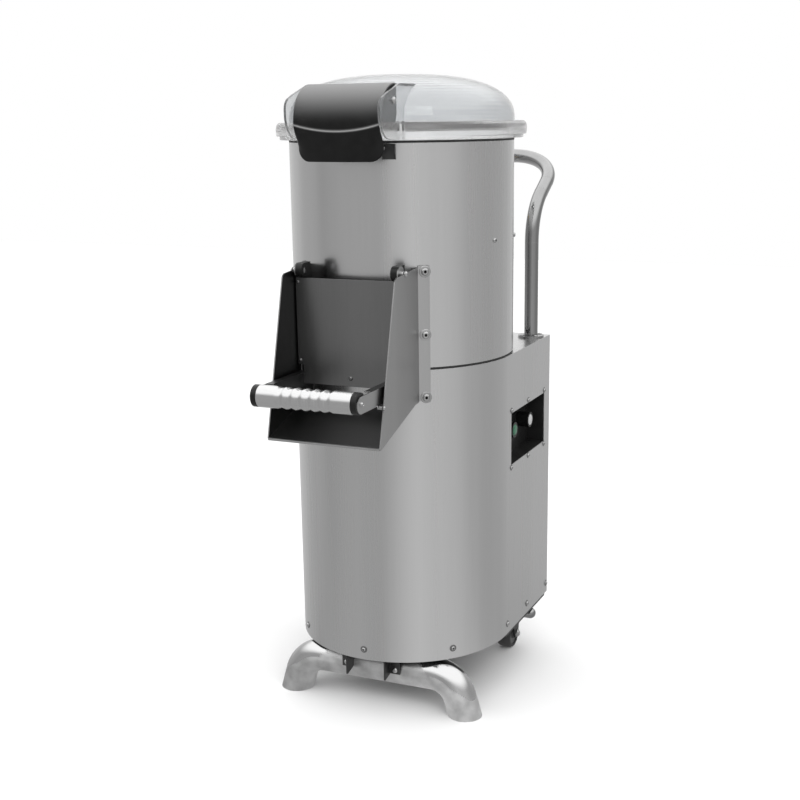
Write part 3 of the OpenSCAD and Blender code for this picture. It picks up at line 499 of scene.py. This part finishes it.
def chute_metal(name, outside, inside, rough):
    """Brushed sheet with painted shade: its faces towards the chute's middle and upwards are darkened
    towards the inside grey; how much the normal points that way is normal.z - sign(x) normal.x."""
    material = brushed_metal(name, grey(outside * 0.94), grey(outside * 1.06), rough, DOWN_PANEL)
    tree = material.node_tree
    shader = next(node for node in tree.nodes if node.type == "BSDF_PRINCIPLED")
    where = tree.nodes.new("ShaderNodeTexCoord")
    sides, facing = tree.nodes.new("ShaderNodeSeparateXYZ"), tree.nodes.new("ShaderNodeSeparateXYZ")
    tree.links.new(where.outputs["Object"], sides.inputs["Vector"])
    tree.links.new(where.outputs["Normal"], facing.inputs["Vector"])
    side = math_node(tree, "SIGN")
    tree.links.new(sides.outputs["X"], side.inputs[0])
    outward = math_node(tree, "MULTIPLY")
    tree.links.new(side.outputs["Value"], outward.inputs[0])
    tree.links.new(facing.outputs["X"], outward.inputs[1])
    inner_shade = math_node(tree, "MULTIPLY_ADD", (1, -1))
    tree.links.new(outward.outputs["Value"], inner_shade.inputs[0])
    tree.links.new(facing.outputs["Z"], inner_shade.inputs[2])
    spread = range_node(tree, (0.2, 0.6))
    tree.links.new(inner_shade.outputs["Value"], spread.inputs["Value"])
    # Painted shade on the chute's inner and upward faces.
    cover_colour(tree, shader, spread.outputs["Result"], grey(inside))
    return material


def clear_plastic(name, tint, rough):
    """Clear moulding, smooth and a little grey in its dome and whiter and frosted in its rim. rough
    holds the dome's and the rim's roughness."""
    material, tree, shader = new_material(name)
    speckle = add_group(tree, "mottle")
    speckle.inputs["Coarse"].default_value = 9.0
    speckle.inputs["Fine"].default_value = 30.0
    shader.inputs["Transmission Weight"].default_value = 0.92
    shader.inputs["IOR"].default_value = 1.45
    tone_colour(tree, shader, speckle.outputs["Tone"], tuple(c * 0.97 for c in tint), tint)
    where = tree.nodes.new("ShaderNodeTexCoord")
    split = tree.nodes.new("ShaderNodeSeparateXYZ")
    tree.links.new(where.outputs["Object"], split.inputs["Vector"])
    rim_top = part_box("lid")[0][2] + RIM_HEIGHT
    rim = range_node(tree, (rim_top + RIM_FADE, rim_top))
    tree.links.new(split.outputs["Z"], rim.inputs["Value"])
    cover_colour(tree, shader, rim.outputs["Result"], grey(0.98))
    vary_roughness(tree, shader, rim.outputs["Result"], rough)
    add_bump(tree, shader, speckle.outputs["Height"], 0.02, 0.001, MOULDED_EDGE)
    return material


def finish_table():
    """Every finish of the machine by its material slot."""
    level = bpy.context.scene.peeler_finish.steel_tone
    dark = bpy.context.scene.peeler_finish.plastic_tone
    sheet = (grey(level * 0.96), grey(level * 1.04))
    return {
        "brushed_sheet": brushed_metal("Housing sheet", *sheet, (0.25, 0.32), DOWN_SHEET, 0.03),
        "drum_sheet": brushed_metal("Drum sheet", *sheet, (0.22, 0.29), DOWN_SHEET, 0.025),
        # The chute's inner faces take painted shade.
        "chute_sheet": chute_metal("Chute sheet", level * 0.74, level * 0.16, (0.33, 0.42)),
        # A darker copy of the steel sheet: painted shade for the door, which stands inside the chute.
        "door_sheet": brushed_metal(
            "Door sheet", grey(level * 0.31), grey(level * 0.37), (0.3, 0.4), DOWN_PANEL),
        "zinc_steel": brushed_metal("Zinc steel", grey(0.4), grey(0.5), (0.35, 0.5), (1, 1, 0.3)),
        # Marked near-black colour: painted shade on the socket floors, and the darkening of the washers.
        "screw_steel": masked("Screw steel", (grey(0.4), grey(0.52)), grey(0.015), (0.2, 0.3), 0.5),
        "tube_steel": brushed_metal(
            "Polished tube", grey(0.3), grey(0.36), (0.1, 0.17), (1, 1, 0.2), 0.03),
        "cast_foot": masked(
            "Cast aluminium", (grey(0.46), grey(0.7)), grey(0.56), (0.38, 0.55), 0.13, strength=0.2),
        "grip_aluminium": brushed_metal(
            "Turned grip", grey(0.54), grey(0.66), (0.18, 0.26), ROUND_BAR, 0.1),
        "black_frame": mottled("Black paint", grey(0.01), grey(0.016), (0.35, 0.45), edge=SHEET_EDGE),
        "grey_bracket": mottled(
            "Grey bracket", grey(0.05), grey(0.07), (0.3, 0.4), 0.8, edge=SHEET_EDGE),
        "clear_lid": clear_plastic("Clear lid", (0.835, 0.85, 0.862), (0.01, 0.2)),
        # Marked colour: painted highlight along the hatch's crease and painted sheen on its crown.
        "hatch_plastic": masked(
            "Hatch moulding", (grey(dark * 0.25), grey(dark * 0.4)), grey(dark * 22), (0.34, 0.42), 0.5,
            metallic=0.0, coarse=60.0, fine=900.0, strength=0.08, depth=0.0002, specular=0.25),
        "black_plastic": mottled(
            "Black moulding", grey(dark * 0.3), grey(dark * 0.5), (0.3, 0.4),
            coarse=30.0, fine=900.0, strength=0.1, depth=0.0002, specular=0.3, edge=MOULDED_EDGE),
        "recess_pan": mottled(
            "Recess paint", grey(dark * 0.6), grey(dark), (0.35, 0.45), specular=0.4, edge=MOULDED_EDGE),
        "green_button": mottled("Green button", (0.02, 0.1, 0.055), (0.025, 0.12, 0.065), (0.22, 0.32)),
        "white_button": mottled("White button", grey(0.42), grey(0.48), (0.28, 0.38)),
        "seal_rubber": mottled("Seal rubber", grey(0.012), grey(0.02), (0.6, 0.75)),
        "wheel_tyre": mottled("Tyre rubber", grey(0.022), grey(0.036), (0.5, 0.65), edge=MOULDED_EDGE),
        "wheel_hub": mottled("Wheel hub", grey(0.07), grey(0.09), (0.4, 0.5), edge=SHEET_EDGE),
        "abrasive_grit": mottled(
            "Abrasive grit", grey(0.03), grey(0.09), (0.75, 0.95),
            coarse=500.0, fine=900.0, strength=0.9, depth=0.002),
        "pulley_iron": mottled("Machined iron", grey(0.12), grey(0.17), (0.4, 0.55), 1.0),
        "motor_paint": mottled("Motor paint", (0.05, 0.07, 0.09), (0.06, 0.085, 0.11), (0.35, 0.45)),
        "brass_fitting": mottled("Brass fitting", (0.6, 0.45, 0.2), (0.7, 0.54, 0.26), (0.25, 0.35), 1.0),
        "relay_plastic": mottled("Relay housing", (0.45, 0.44, 0.38), (0.5, 0.49, 0.42), (0.4, 0.5)),
    }


FINISHES = {}


def finish(slot):
    """The material of a slot; all of them are made the first time one is asked for."""
    if not FINISHES:
        FINISHES.update(finish_table())
    return FINISHES[slot]


# ---------------------------------------------------------------- properties


class PeelerFinish(bpy.types.PropertyGroup):
    """Tones that the finishes are mixed from"""

    steel_tone: bpy.props.FloatProperty(
        name="Steel tone", description="Brightness of the brushed sheet steel",
        default=0.62, min=0.2, max=0.95)
    # The hatch's painted highlight and sheen take 22 times this tone.
    plastic_tone: bpy.props.FloatProperty(
        name="Plastic tone", description="Brightness of the black mouldings",
        default=0.012, min=0.0, max=0.2)


class PeelerPieces(bpy.types.PropertyGroup):
    """Sizes of the pieces that get a finer surface"""

    barrel_radius: bpy.props.FloatProperty(
        name="Barrel radius", description="Radius of the feed hatch's rounded front",
        default=0.061, min=0.05, max=0.062, subtype="DISTANCE", unit="LENGTH")
    crease_sag: bpy.props.FloatProperty(
        name="Crease sag", description="How much lower the hatch's crease is in the middle than at its sides",
        default=0.0105, min=0.0, max=0.03, subtype="DISTANCE", unit="LENGTH")
    hatch_wall: bpy.props.FloatProperty(
        name="Hatch wall", description="Thickness of the feed hatch's wall",
        default=0.0026, min=0.0015, max=0.004, subtype="DISTANCE", unit="LENGTH")
    foot_ridge: bpy.props.FloatProperty(
        name="Parting ridge", description="Height of the parting ridge along the cast foot",
        default=0.0008, min=0.0, max=0.0015, subtype="DISTANCE", unit="LENGTH")
    wave_depth: bpy.props.FloatProperty(
        name="Grip wave", description="Depth of the finger waves turned into the grip",
        default=0.0018, min=0.0, max=0.003, subtype="DISTANCE", unit="LENGTH")


class PeelerStage(bpy.types.PropertyGroup):
    """Size of the floor and strength of the light"""

    floor_size: bpy.props.FloatProperty(
        name="Floor size", description="Length of the floor's side",
        default=14.0, min=4.0, subtype="DISTANCE", unit="LENGTH")
    sky_level: bpy.props.FloatProperty(
        name="Room light", description="Strength of the soft light all round",
        default=1.0, min=0.0, max=4.0)


# ---------------------------------------------------------------- operators


class PEELER_OT_finishes(bpy.types.Operator):
    """Give every CAD node the finish of its material slot"""

    bl_idname = "peeler.finishes"
    bl_label = "Apply finishes"

    def execute(self, context):
        for part in FRAME["record"]["subparts"]:
            mesh = NODES[part["node"]].data
            mesh.materials.clear()
            mesh.materials.append(finish(part["material_slot"]))
        return {"FINISHED"}


class PEELER_OT_visor(bpy.types.Operator):
    """Loft the feed hatch, a rounded barrel that runs over a bowed crease into a curved apron, with ears"""

    bl_idname = "peeler.visor"
    bl_label = "Make the feed hatch"

    # Gaps that keep the shell inside the CAD hatch, at its sides and at its lower edge
    side_gap = 0.001
    edge_gap = 0.0005
    ear_inset = 0.0012
    # Height of the crease's ends over the lower edge, and the bead along it
    crease_height = 0.0592
    bead_width = 0.0014
    bead_height = 0.0007
    # Circle round the drum's axis that the apron follows, and the apron's lower corners
    apron_radius = 0.253
    apron_corner = 0.022
    # Outline of an ear behind the barrel, and the spot inside it where its rows begin and end, as y and
    # z from the barrel's centre
    heel = ((-0.03, -0.012), (-0.006, -0.004), (0, 0.012))
    hub = (-0.026, 0.022)

    def execute(self, context):
        sizes = context.scene.peeler_pieces
        low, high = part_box("feed_hatch")
        sheet, mask = self.sheet(sizes, low, high)
        front = Vector((0, -1, 0.4))
        shell = build_surface("visor", [sheet], ring=False, sharp=60, masks=[mask], facing=front)
        wall = shell.modifiers.new("Wall", "SOLIDIFY")
        wall.thickness, wall.offset = sizes.hatch_wall, -1
        dress(shell, "hatch", "hatch_plastic", "feed_hatch")
        for name, side in (("visor_ear_right", -1), ("visor_ear_left", 1)):
            ear = build_surface(name, [self.ear(sizes, high, side)])
            dress(ear, "hatch", "hatch_plastic", "feed_hatch")
        return {"FINISHED"}

    def sheet(self, sizes, low, high):
        """Across x and down v. The barrel is an arc from its top to the crease, whose height rises with
        the square of x. Below it y eases over to the circle that the lid's rim follows, down to an edge
        with quarter-circle corners. A bead exp(-(distance / width) squared) marks the crease. The mask
        is painted light: a painted highlight along the bead and a painted sheen on the barrel's crown."""
        half, radius, corner = high[0] - self.side_gap, sizes.barrel_radius, self.apron_corner
        middle, back = high[2] - radius, high[1]
        x = np.sin(np.linspace(-TAU / 4, TAU / 4, 121))[None, :] * half
        crease = low[2] + self.crease_height - sizes.crease_sag * (1 - (x / half) ** 2)
        over = np.clip(np.abs(x) - (half - corner), 0, corner)
        edge = low[2] + self.edge_gap + corner - np.sqrt(corner**2 - over**2)
        last = np.arcsin((crease - middle) / radius)
        angle = TAU / 4 + (last - TAU / 4) * np.linspace(0, 1, 60)[:, None]
        barrel = np.stack(
            [x + 0 * angle, back - radius * np.cos(angle), middle + radius * np.sin(angle)], -1)
        part = np.linspace(0, 1, 50)[1:, None] ** 1.5
        start = back - radius * np.cos(last)
        wrap = DRUM_Y - np.sqrt(self.apron_radius**2 - x**2)
        y = start + (wrap - start) * smooth_step(0, 1, part)
        apron = np.stack([x + 0 * part, y, crease + (edge - crease) * part], -1)
        sheet = np.concatenate([barrel, apron])
        # The bead is real relief; through the mask it also paints a highlight along the crease.
        bead = np.exp(-(((sheet[..., 2] - crease) / self.bead_width) ** 2))
        sheet[..., 1] -= self.bead_height * bead
        # Painted sheen on the barrel's crown, lighter towards its top.
        painted_crown_sheen = 0.75 * smooth_step(middle - 0.01, high[2] - 0.004, sheet[..., 2]) ** 1.6
        return sheet, np.maximum(bead, painted_crown_sheen)

    def ear(self, sizes, high, side):
        """A flat side plate: its outline follows the barrel and closes behind it; the rows go from its
        outer middle over both edges of the outline to its inner middle."""
        radius = sizes.barrel_radius - self.ear_inset
        middle, back = high[2] - sizes.barrel_radius, high[1]
        angle = np.linspace(TAU / 4, -0.1, 40)
        heel_y, heel_z = np.transpose(self.heel)
        y = np.append(back - radius * np.cos(angle), back + heel_y)
        z = np.append(middle + radius * np.sin(angle), middle + heel_z)
        outer = high[0] - self.ear_inset
        inner = outer - sizes.hatch_wall
        hub_y, hub_z = 0 * y + back + self.hub[0], 0 * z + middle + self.hub[1]
        rows = ((outer, hub_y, hub_z), (outer, y, z), (inner, y, z), (inner, hub_y, hub_z))
        return np.stack([np.stack([0 * y + side * x, *spot], -1) for x, *spot in rows])


class PEELER_OT_foot(bpy.types.Operator):
    """Sweep the cast arch foot, with a parting ridge and polished shoulders"""

    bl_idname = "peeler.foot"
    bl_label = "Make the cast foot"

    # How sharp the ridge is in the sine of the angle, and how far the swept legs run on below the floor
    ridge_width = 0.004
    below_floor = 0.012
    # The polished leaf: how far it reaches over the beam, its point's distance from the floor along the
    # leg, half its width and its middle as angles, and the share of its length that each end takes
    leaf_start = 0.03
    leaf_point = 0.028
    leaf_half = 1.15
    leaf_middle = 0.2
    leaf_end = 0.3

    def execute(self, context):
        """Round the spine the radius is the leg's less the ridge, plus the ridge's bead
        exp(-((|sin(angle)| - 1) / width) squared) to the front and back. Angle 0 is away from the inside
        of the bend. What would reach below the floor is drawn back along the leg to the floor."""
        ridge = context.scene.peeler_pieces.foot_ridge
        low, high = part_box("front_foot")
        radius = (high[1] - low[1]) / 2 - ridge
        spine, tangent, along = self.path()
        angle = np.linspace(0, TAU, 72, endpoint=False)[None, :]
        outward = np.stack([-tangent[:, 1], 0 * along, tangent[:, 0]], -1)[:, None, :]
        forward = np.array([0, -1.0, 0])
        bead = np.exp(-(((np.abs(np.sin(angle)) - 1) / self.ridge_width) ** 2))
        reach = radius + ridge * bead + 0 * along[:, None]
        spoke = np.cos(angle)[..., None] * outward + np.sin(angle)[..., None] * forward
        points = spine[:, None, :] + reach[..., None] * spoke
        down = np.stack([tangent[:, 0], 0 * along, tangent[:, 1]], -1)[:, None, :]
        slope = np.where(np.abs(down[..., 2:]) > 0.3, down[..., 2:], 1)
        points = points - down * np.minimum(points[..., 2:], 0) / slope
        points[..., 2] = np.maximum(points[..., 2], 0)
        caps = [row.mean(1, keepdims=True) + 0 * row for row in (points[:1], points[-1:])]
        closed = np.concatenate([caps[0], points, caps[1]])
        mask = self.polish(along, angle)
        mask = np.concatenate([mask[:1] * 0, mask, mask[:1] * 0])
        foot = build_surface("foot_casting", [closed], sharp=50, masks=[mask])
        dress(foot, "body", "cast_foot", "front_foot")
        return {"FINISHED"}

    def path(self):
        """Centre line from one foot to the other: along the beam, round a bend and down a splayed leg,
        mirrored to the other side. Returns points, unit tangents in x and z, and how far each point is
        from the beam's middle. The legs run on below the floor, where the sweep is cut."""
        beam, leg = self.lengths()
        turn = TAU / 4 - FOOT_SPLAY
        t = np.linspace(0, turn, 30)
        straight = np.linspace(0, beam, 24)[:-1]
        down = np.linspace(0, leg + self.below_floor, 40)[1:]
        x = np.concatenate([
            straight, beam + FOOT_BEND * np.sin(t),
            beam + FOOT_BEND * math.sin(turn) + down * math.sin(FOOT_SPLAY)])
        drop = np.concatenate([
            0 * straight, FOOT_BEND * (1 - np.cos(t)),
            FOOT_BEND * (1 - math.cos(turn)) + down * math.cos(FOOT_SPLAY)])
        heading = np.concatenate([0 * straight, t, 0 * down + turn])
        length = np.concatenate([straight, beam + FOOT_BEND * t, beam + FOOT_BEND * turn + down])
        low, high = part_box("front_foot")
        right = np.stack([x, 0 * x + (low[1] + high[1]) / 2, BEAM_HEIGHT - drop], -1)
        left = (right * (-1, 1, 1))[:0:-1]
        rising = np.stack([np.cos(heading), np.sin(heading)], -1)[:0:-1]
        falling = np.stack([np.cos(heading), -np.sin(heading)], -1)
        spine, tangent = np.concatenate([left, right]), np.concatenate([rising, falling])
        return spine, tangent, np.concatenate([-length[:0:-1], length])

    def lengths(self):
        """Half the beam and the length of a leg, so that the legs meet the floor at the foot's reach."""
        leg = (BEAM_HEIGHT - FOOT_BEND * (1 - math.sin(FOOT_SPLAY))) / math.cos(FOOT_SPLAY)
        return FOOT_REACH - leg * math.sin(FOOT_SPLAY) - FOOT_BEND * math.cos(FOOT_SPLAY), leg

    def polish(self, along, angle):
        """1 on the leaf-shaped shoulders: a band of angles to the outside, which widens from the beam,
        keeps its width round the bend and runs to a point above the floor."""
        beam, leg = self.lengths()
        first = beam - self.leaf_start
        last = beam + FOOT_BEND * (TAU / 4 - FOOT_SPLAY) + leg - self.leaf_point
        part = np.clip((np.abs(along) - first) / (last - first), 0, 1)
        narrow = np.sqrt(np.clip((1 - part) / self.leaf_end, 0, 1))
        width = self.leaf_half * smooth_step(0, self.leaf_end, part) * narrow
        away = np.abs((angle - self.leaf_middle + math.pi) % TAU - math.pi)
        return smooth_step(-0.05, 0.05, width[:, None] - away) * (part > 0)[:, None]


class PEELER_OT_grip(bpy.types.Operator):
    """Turn the door's grip with its finger waves"""

    bl_idname = "peeler.grip"
    bl_label = "Make the grip"

    def execute(self, context):
        """The radius is the grip's less half the wave's depth times 1 - cos of the way along, from one
        end of the waves to the other; both ends close on the axis over a broken edge."""
        depth = context.scene.peeler_pieces.wave_depth
        low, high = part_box("door_grip")
        radius, half = (high[2] - low[2]) / 2, high[0]
        waved, pitch, edge, corner = 0.051, 0.017, 0.001, 0.0003
        x = np.linspace(-half + edge, half - edge, 260)
        wave = depth / 2 * (1 - np.cos(TAU * (x + waved) / pitch))
        ring = radius - np.where(np.abs(x) < waved, wave, 0)
        rim = [radius - corner, radius - edge, 0]
        x = np.concatenate([[-half, -half, -half + corner], x, [half - corner, half, half]])
        ring = np.concatenate([rim[::-1], ring, rim])
        centre = (0, (low[1] + high[1]) / 2, (low[2] + high[2]) / 2)
        grip = build_surface("grip_tube", [revolve(np.stack([ring, x], -1), centre, (1, 0, 0), 64)])
        dress(grip, "door", "grip_aluminium", "door_grip")
        return {"FINISHED"}


class PEELER_OT_buttons(bpy.types.Operator):
    """Mould the domed caps of the two push buttons"""

    bl_idname = "peeler.buttons"
    bl_label = "Make the button caps"

    def execute(self, context):
        """The face is a shallow dome that falls with the square of r, with a rounded shoulder."""
        shoulder, dome_fall, shoulder_fall = 0.0022, 0.0012, 0.001
        round_at = np.linspace(0, TAU / 4, 8)
        for body, slot in (("start", "green_button"), ("stop", "white_button")):
            node = f"{body}_button"
            low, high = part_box(node)
            radius, tall = (high[1] - low[1]) / 2, high[0] - low[0]
            inner = np.linspace(0, radius - shoulder, 12)
            face = np.stack([inner, tall - dome_fall * (inner / radius) ** 2], -1)
            bend = np.stack([radius - shoulder + shoulder * np.sin(round_at),
                             tall - shoulder_fall - shoulder + shoulder * np.cos(round_at)], -1)
            profile = np.concatenate([face, bend, [[radius, 0], [0, 0]]])
            centre = (low[0], (low[1] + high[1]) / 2, (low[2] + high[2]) / 2)
            cap = build_surface(f"{node}_cap", [revolve(profile, centre, (1, 0, 0), 48)])
            dress(cap, body, slot, node)
        return {"FINISHED"}


class PEELER_OT_screws(bpy.types.Operator):
    """Give the button-head screws their hexagon sockets, and washers where the sheet has them"""

    bl_idname = "peeler.screws"
    bl_label = "Make the screws"

    def execute(self, context):
        # Node, body, washer's radius as a share of the head's, and how dark the washer is
        kinds = (("casing_screws", "body", 1.6, 0.55), ("drum_screws", "body", 0, 0),
                 ("chute_screws", "body", 1.5, 0.1), ("grip_screws", "door", 0, 0))
        for node, body, wide, dark in kinds:
            frames = [head_frame(points) for points in loose_solids(node)]
            grids, masks = (list(part) for part in zip(*(socket_head(*frame) for frame in frames)))
            if wide:
                rings = [washer(centre, axis, radius * wide, height * 0.3)
                         for centre, axis, radius, height in frames]
                grids += rings
                masks += [np.full(ring.shape[:2], dark) for ring in rings]
            screws = build_surface(f"{node}_sockets", grids, sharp=30, masks=masks)
            dress(screws, body, "screw_steel", node)
        return {"FINISHED"}


class PEELER_OT_stage(bpy.types.Operator):
    """Lay the floor, light the room and set up the camera"""

    bl_idname = "peeler.stage"
    bl_label = "Set the stage"

    def execute(self, context):
        sizes = context.scene.peeler_stage
        half = sizes.floor_size / 2
        mesh = bpy.data.meshes.new("Floor")
        corners = [(-half, -half, 0), (half, -half, 0), (half, half, 0), (-half, half, 0)]
        mesh.from_pydata(corners, [], [(0, 1, 2, 3)])
        floor = bpy.data.objects.new("Floor", mesh)
        context.scene.collection.objects.link(floor)
        mesh.materials.append(self.floor_finish())
        context.scene.view_settings.view_transform = "Standard"
        self.light_room(context, sizes.sky_level)
        self.add_camera(context)
        return {"FINISHED"}

    def floor_finish(self):
        """Pale and matt to the eye; what polished metal mirrors is the room's greys carried on down."""
        material, tree, shader = new_material("Pale floor")
        speckle = add_group(tree, "mottle")
        speckle.inputs["Coarse"].default_value = 2.0
        tone_colour(tree, shader, speckle.outputs["Tone"], grey(0.8), grey(0.82))
        shader.inputs["Roughness"].default_value = 0.9
        shader.inputs["Specular IOR Level"].default_value = 0.1
        glow = tree.nodes.new("ShaderNodeEmission")
        shades = add_group(tree, "shades")
        tree.links.new(place_coordinates(tree), shades.inputs["Vector"])
        tree.links.new(shades.outputs["Color"], glow.inputs["Color"])
        path = tree.nodes.new("ShaderNodeLightPath")
        switch = tree.nodes.new("ShaderNodeMixShader")
        output = next(node for node in tree.nodes if node.type == "OUTPUT_MATERIAL")
        tree.links.new(path.outputs["Is Glossy Ray"], switch.inputs["Fac"])
        tree.links.new(shader.outputs["BSDF"], switch.inputs[1])
        tree.links.new(glow.outputs["Emission"], switch.inputs[2])
        tree.links.new(switch.outputs["Shader"], output.inputs["Surface"])
        return material

    def light_room(self, context, level):
        """White for the camera; for all else the room's greys near the horizon and a bright ceiling. Two
        lamps add soft light, and aren't seen in reflections."""
        world = bpy.data.worlds.new("Studio")
        context.scene.world = world
        world.use_nodes = True
        tree = world.node_tree
        tree.nodes.clear()
        link = tree.links.new
        output = tree.nodes.new("ShaderNodeOutputWorld")
        seen = tree.nodes.new("ShaderNodeBackground")
        seen.inputs["Color"].default_value = (1, 1, 1, 1)
        room = tree.nodes.new("ShaderNodeBackground")
        room.inputs["Strength"].default_value = level
        switch = tree.nodes.new("ShaderNodeMixShader")
        path = tree.nodes.new("ShaderNodeLightPath")
        link(path.outputs["Is Camera Ray"], switch.inputs["Fac"])
        link(room.outputs["Background"], switch.inputs[1])
        link(seen.outputs["Background"], switch.inputs[2])
        link(switch.outputs["Shader"], output.inputs["Surface"])
        where = tree.nodes.new("ShaderNodeTexCoord")
        shades = add_group(tree, "shades")
        link(where.outputs["Generated"], shades.inputs["Vector"])
        split = tree.nodes.new("ShaderNodeSeparateXYZ")
        link(where.outputs["Generated"], split.inputs["Vector"])
        climb = range_node(tree, (0.25, 0.65))
        climb.interpolation_type = "SMOOTHSTEP"
        link(split.outputs["Z"], climb.inputs["Value"])
        blend = mix_node(tree)
        blend.inputs["B"].default_value = (*grey(CEILING_GREY), 1)
        link(climb.outputs["Result"], blend.inputs["Factor"])
        link(shades.outputs["Color"], blend.inputs["A"])
        link(blend.outputs["Result"], room.inputs["Color"])
        for name, spot, size, power in LAMPS:
            lamp = bpy.data.lights.new(name, "AREA")
            lamp.energy = power
            lamp.size = size
            holder = bpy.data.objects.new(name, lamp)
            context.scene.collection.objects.link(holder)
            holder.visible_glossy = False
            holder.location = spot
            ahead = Vector(LAMP_TARGET) - Vector(spot)
            holder.rotation_euler = ahead.to_track_quat("-Z", "Y").to_euler()

    def add_camera(self, context):
        """A camera 24 degrees to the right of the machine's front and 14 above."""
        data = bpy.data.cameras.new("Camera")
        data.lens, data.sensor_width = CAMERA_LENS, 36.0
        data.shift_x, data.shift_y = CAMERA_SHIFT
        data.clip_end = 50
        camera = bpy.data.objects.new("Camera", data)
        context.scene.collection.objects.link(camera)
        place = Matrix((CAMERA_RIGHT, CAMERA_UP, -Vector(CAMERA_AHEAD))).transposed().to_4x4()
        place.translation = CAMERA_PLACE
        camera.matrix_world = place
        context.scene.camera = camera


class PEELER_PT_panel(bpy.types.Panel):
    """Sizes, tones and operators of the finisher"""

    bl_idname = "PEELER_PT_panel"
    bl_label = "Potato Peeler"
    bl_space_type = "VIEW_3D"
    bl_region_type = "UI"
    bl_category = "Peeler"

    def draw(self, context):
        for group in (context.scene.peeler_finish, context.scene.peeler_pieces, context.scene.peeler_stage):
            for name in group.__annotations__:
                self.layout.prop(group, name)
        for operator in OPERATORS:
            self.layout.operator(operator.bl_idname)


OPERATORS = (
    PEELER_OT_stage, PEELER_OT_finishes, PEELER_OT_visor, PEELER_OT_foot, PEELER_OT_grip,
    PEELER_OT_buttons, PEELER_OT_screws,
)
CLASSES = (PeelerFinish, PeelerPieces, PeelerStage, *OPERATORS, PEELER_PT_panel)


def register():
    """Registers the classes and hangs the property groups on the scene."""
    for cls in CLASSES:
        bpy.utils.register_class(cls)
    bpy.types.Scene.peeler_finish = bpy.props.PointerProperty(type=PeelerFinish)
    bpy.types.Scene.peeler_pieces = bpy.props.PointerProperty(type=PeelerPieces)
    bpy.types.Scene.peeler_stage = bpy.props.PointerProperty(type=PeelerStage)


def unregister():
    """Takes away what register added."""
    del bpy.types.Scene.peeler_stage
    del bpy.types.Scene.peeler_pieces
    del bpy.types.Scene.peeler_finish
    for cls in reversed(CLASSES):
        bpy.utils.unregister_class(cls)


def main():
    """Runs every operator."""
    register()
    bpy.ops.peeler.stage()
    bpy.ops.peeler.finishes()
    bpy.ops.peeler.visor()
    bpy.ops.peeler.foot()
    bpy.ops.peeler.grip()
    bpy.ops.peeler.buttons()
    bpy.ops.peeler.screws()


if __name__ == "__main__":
    main()
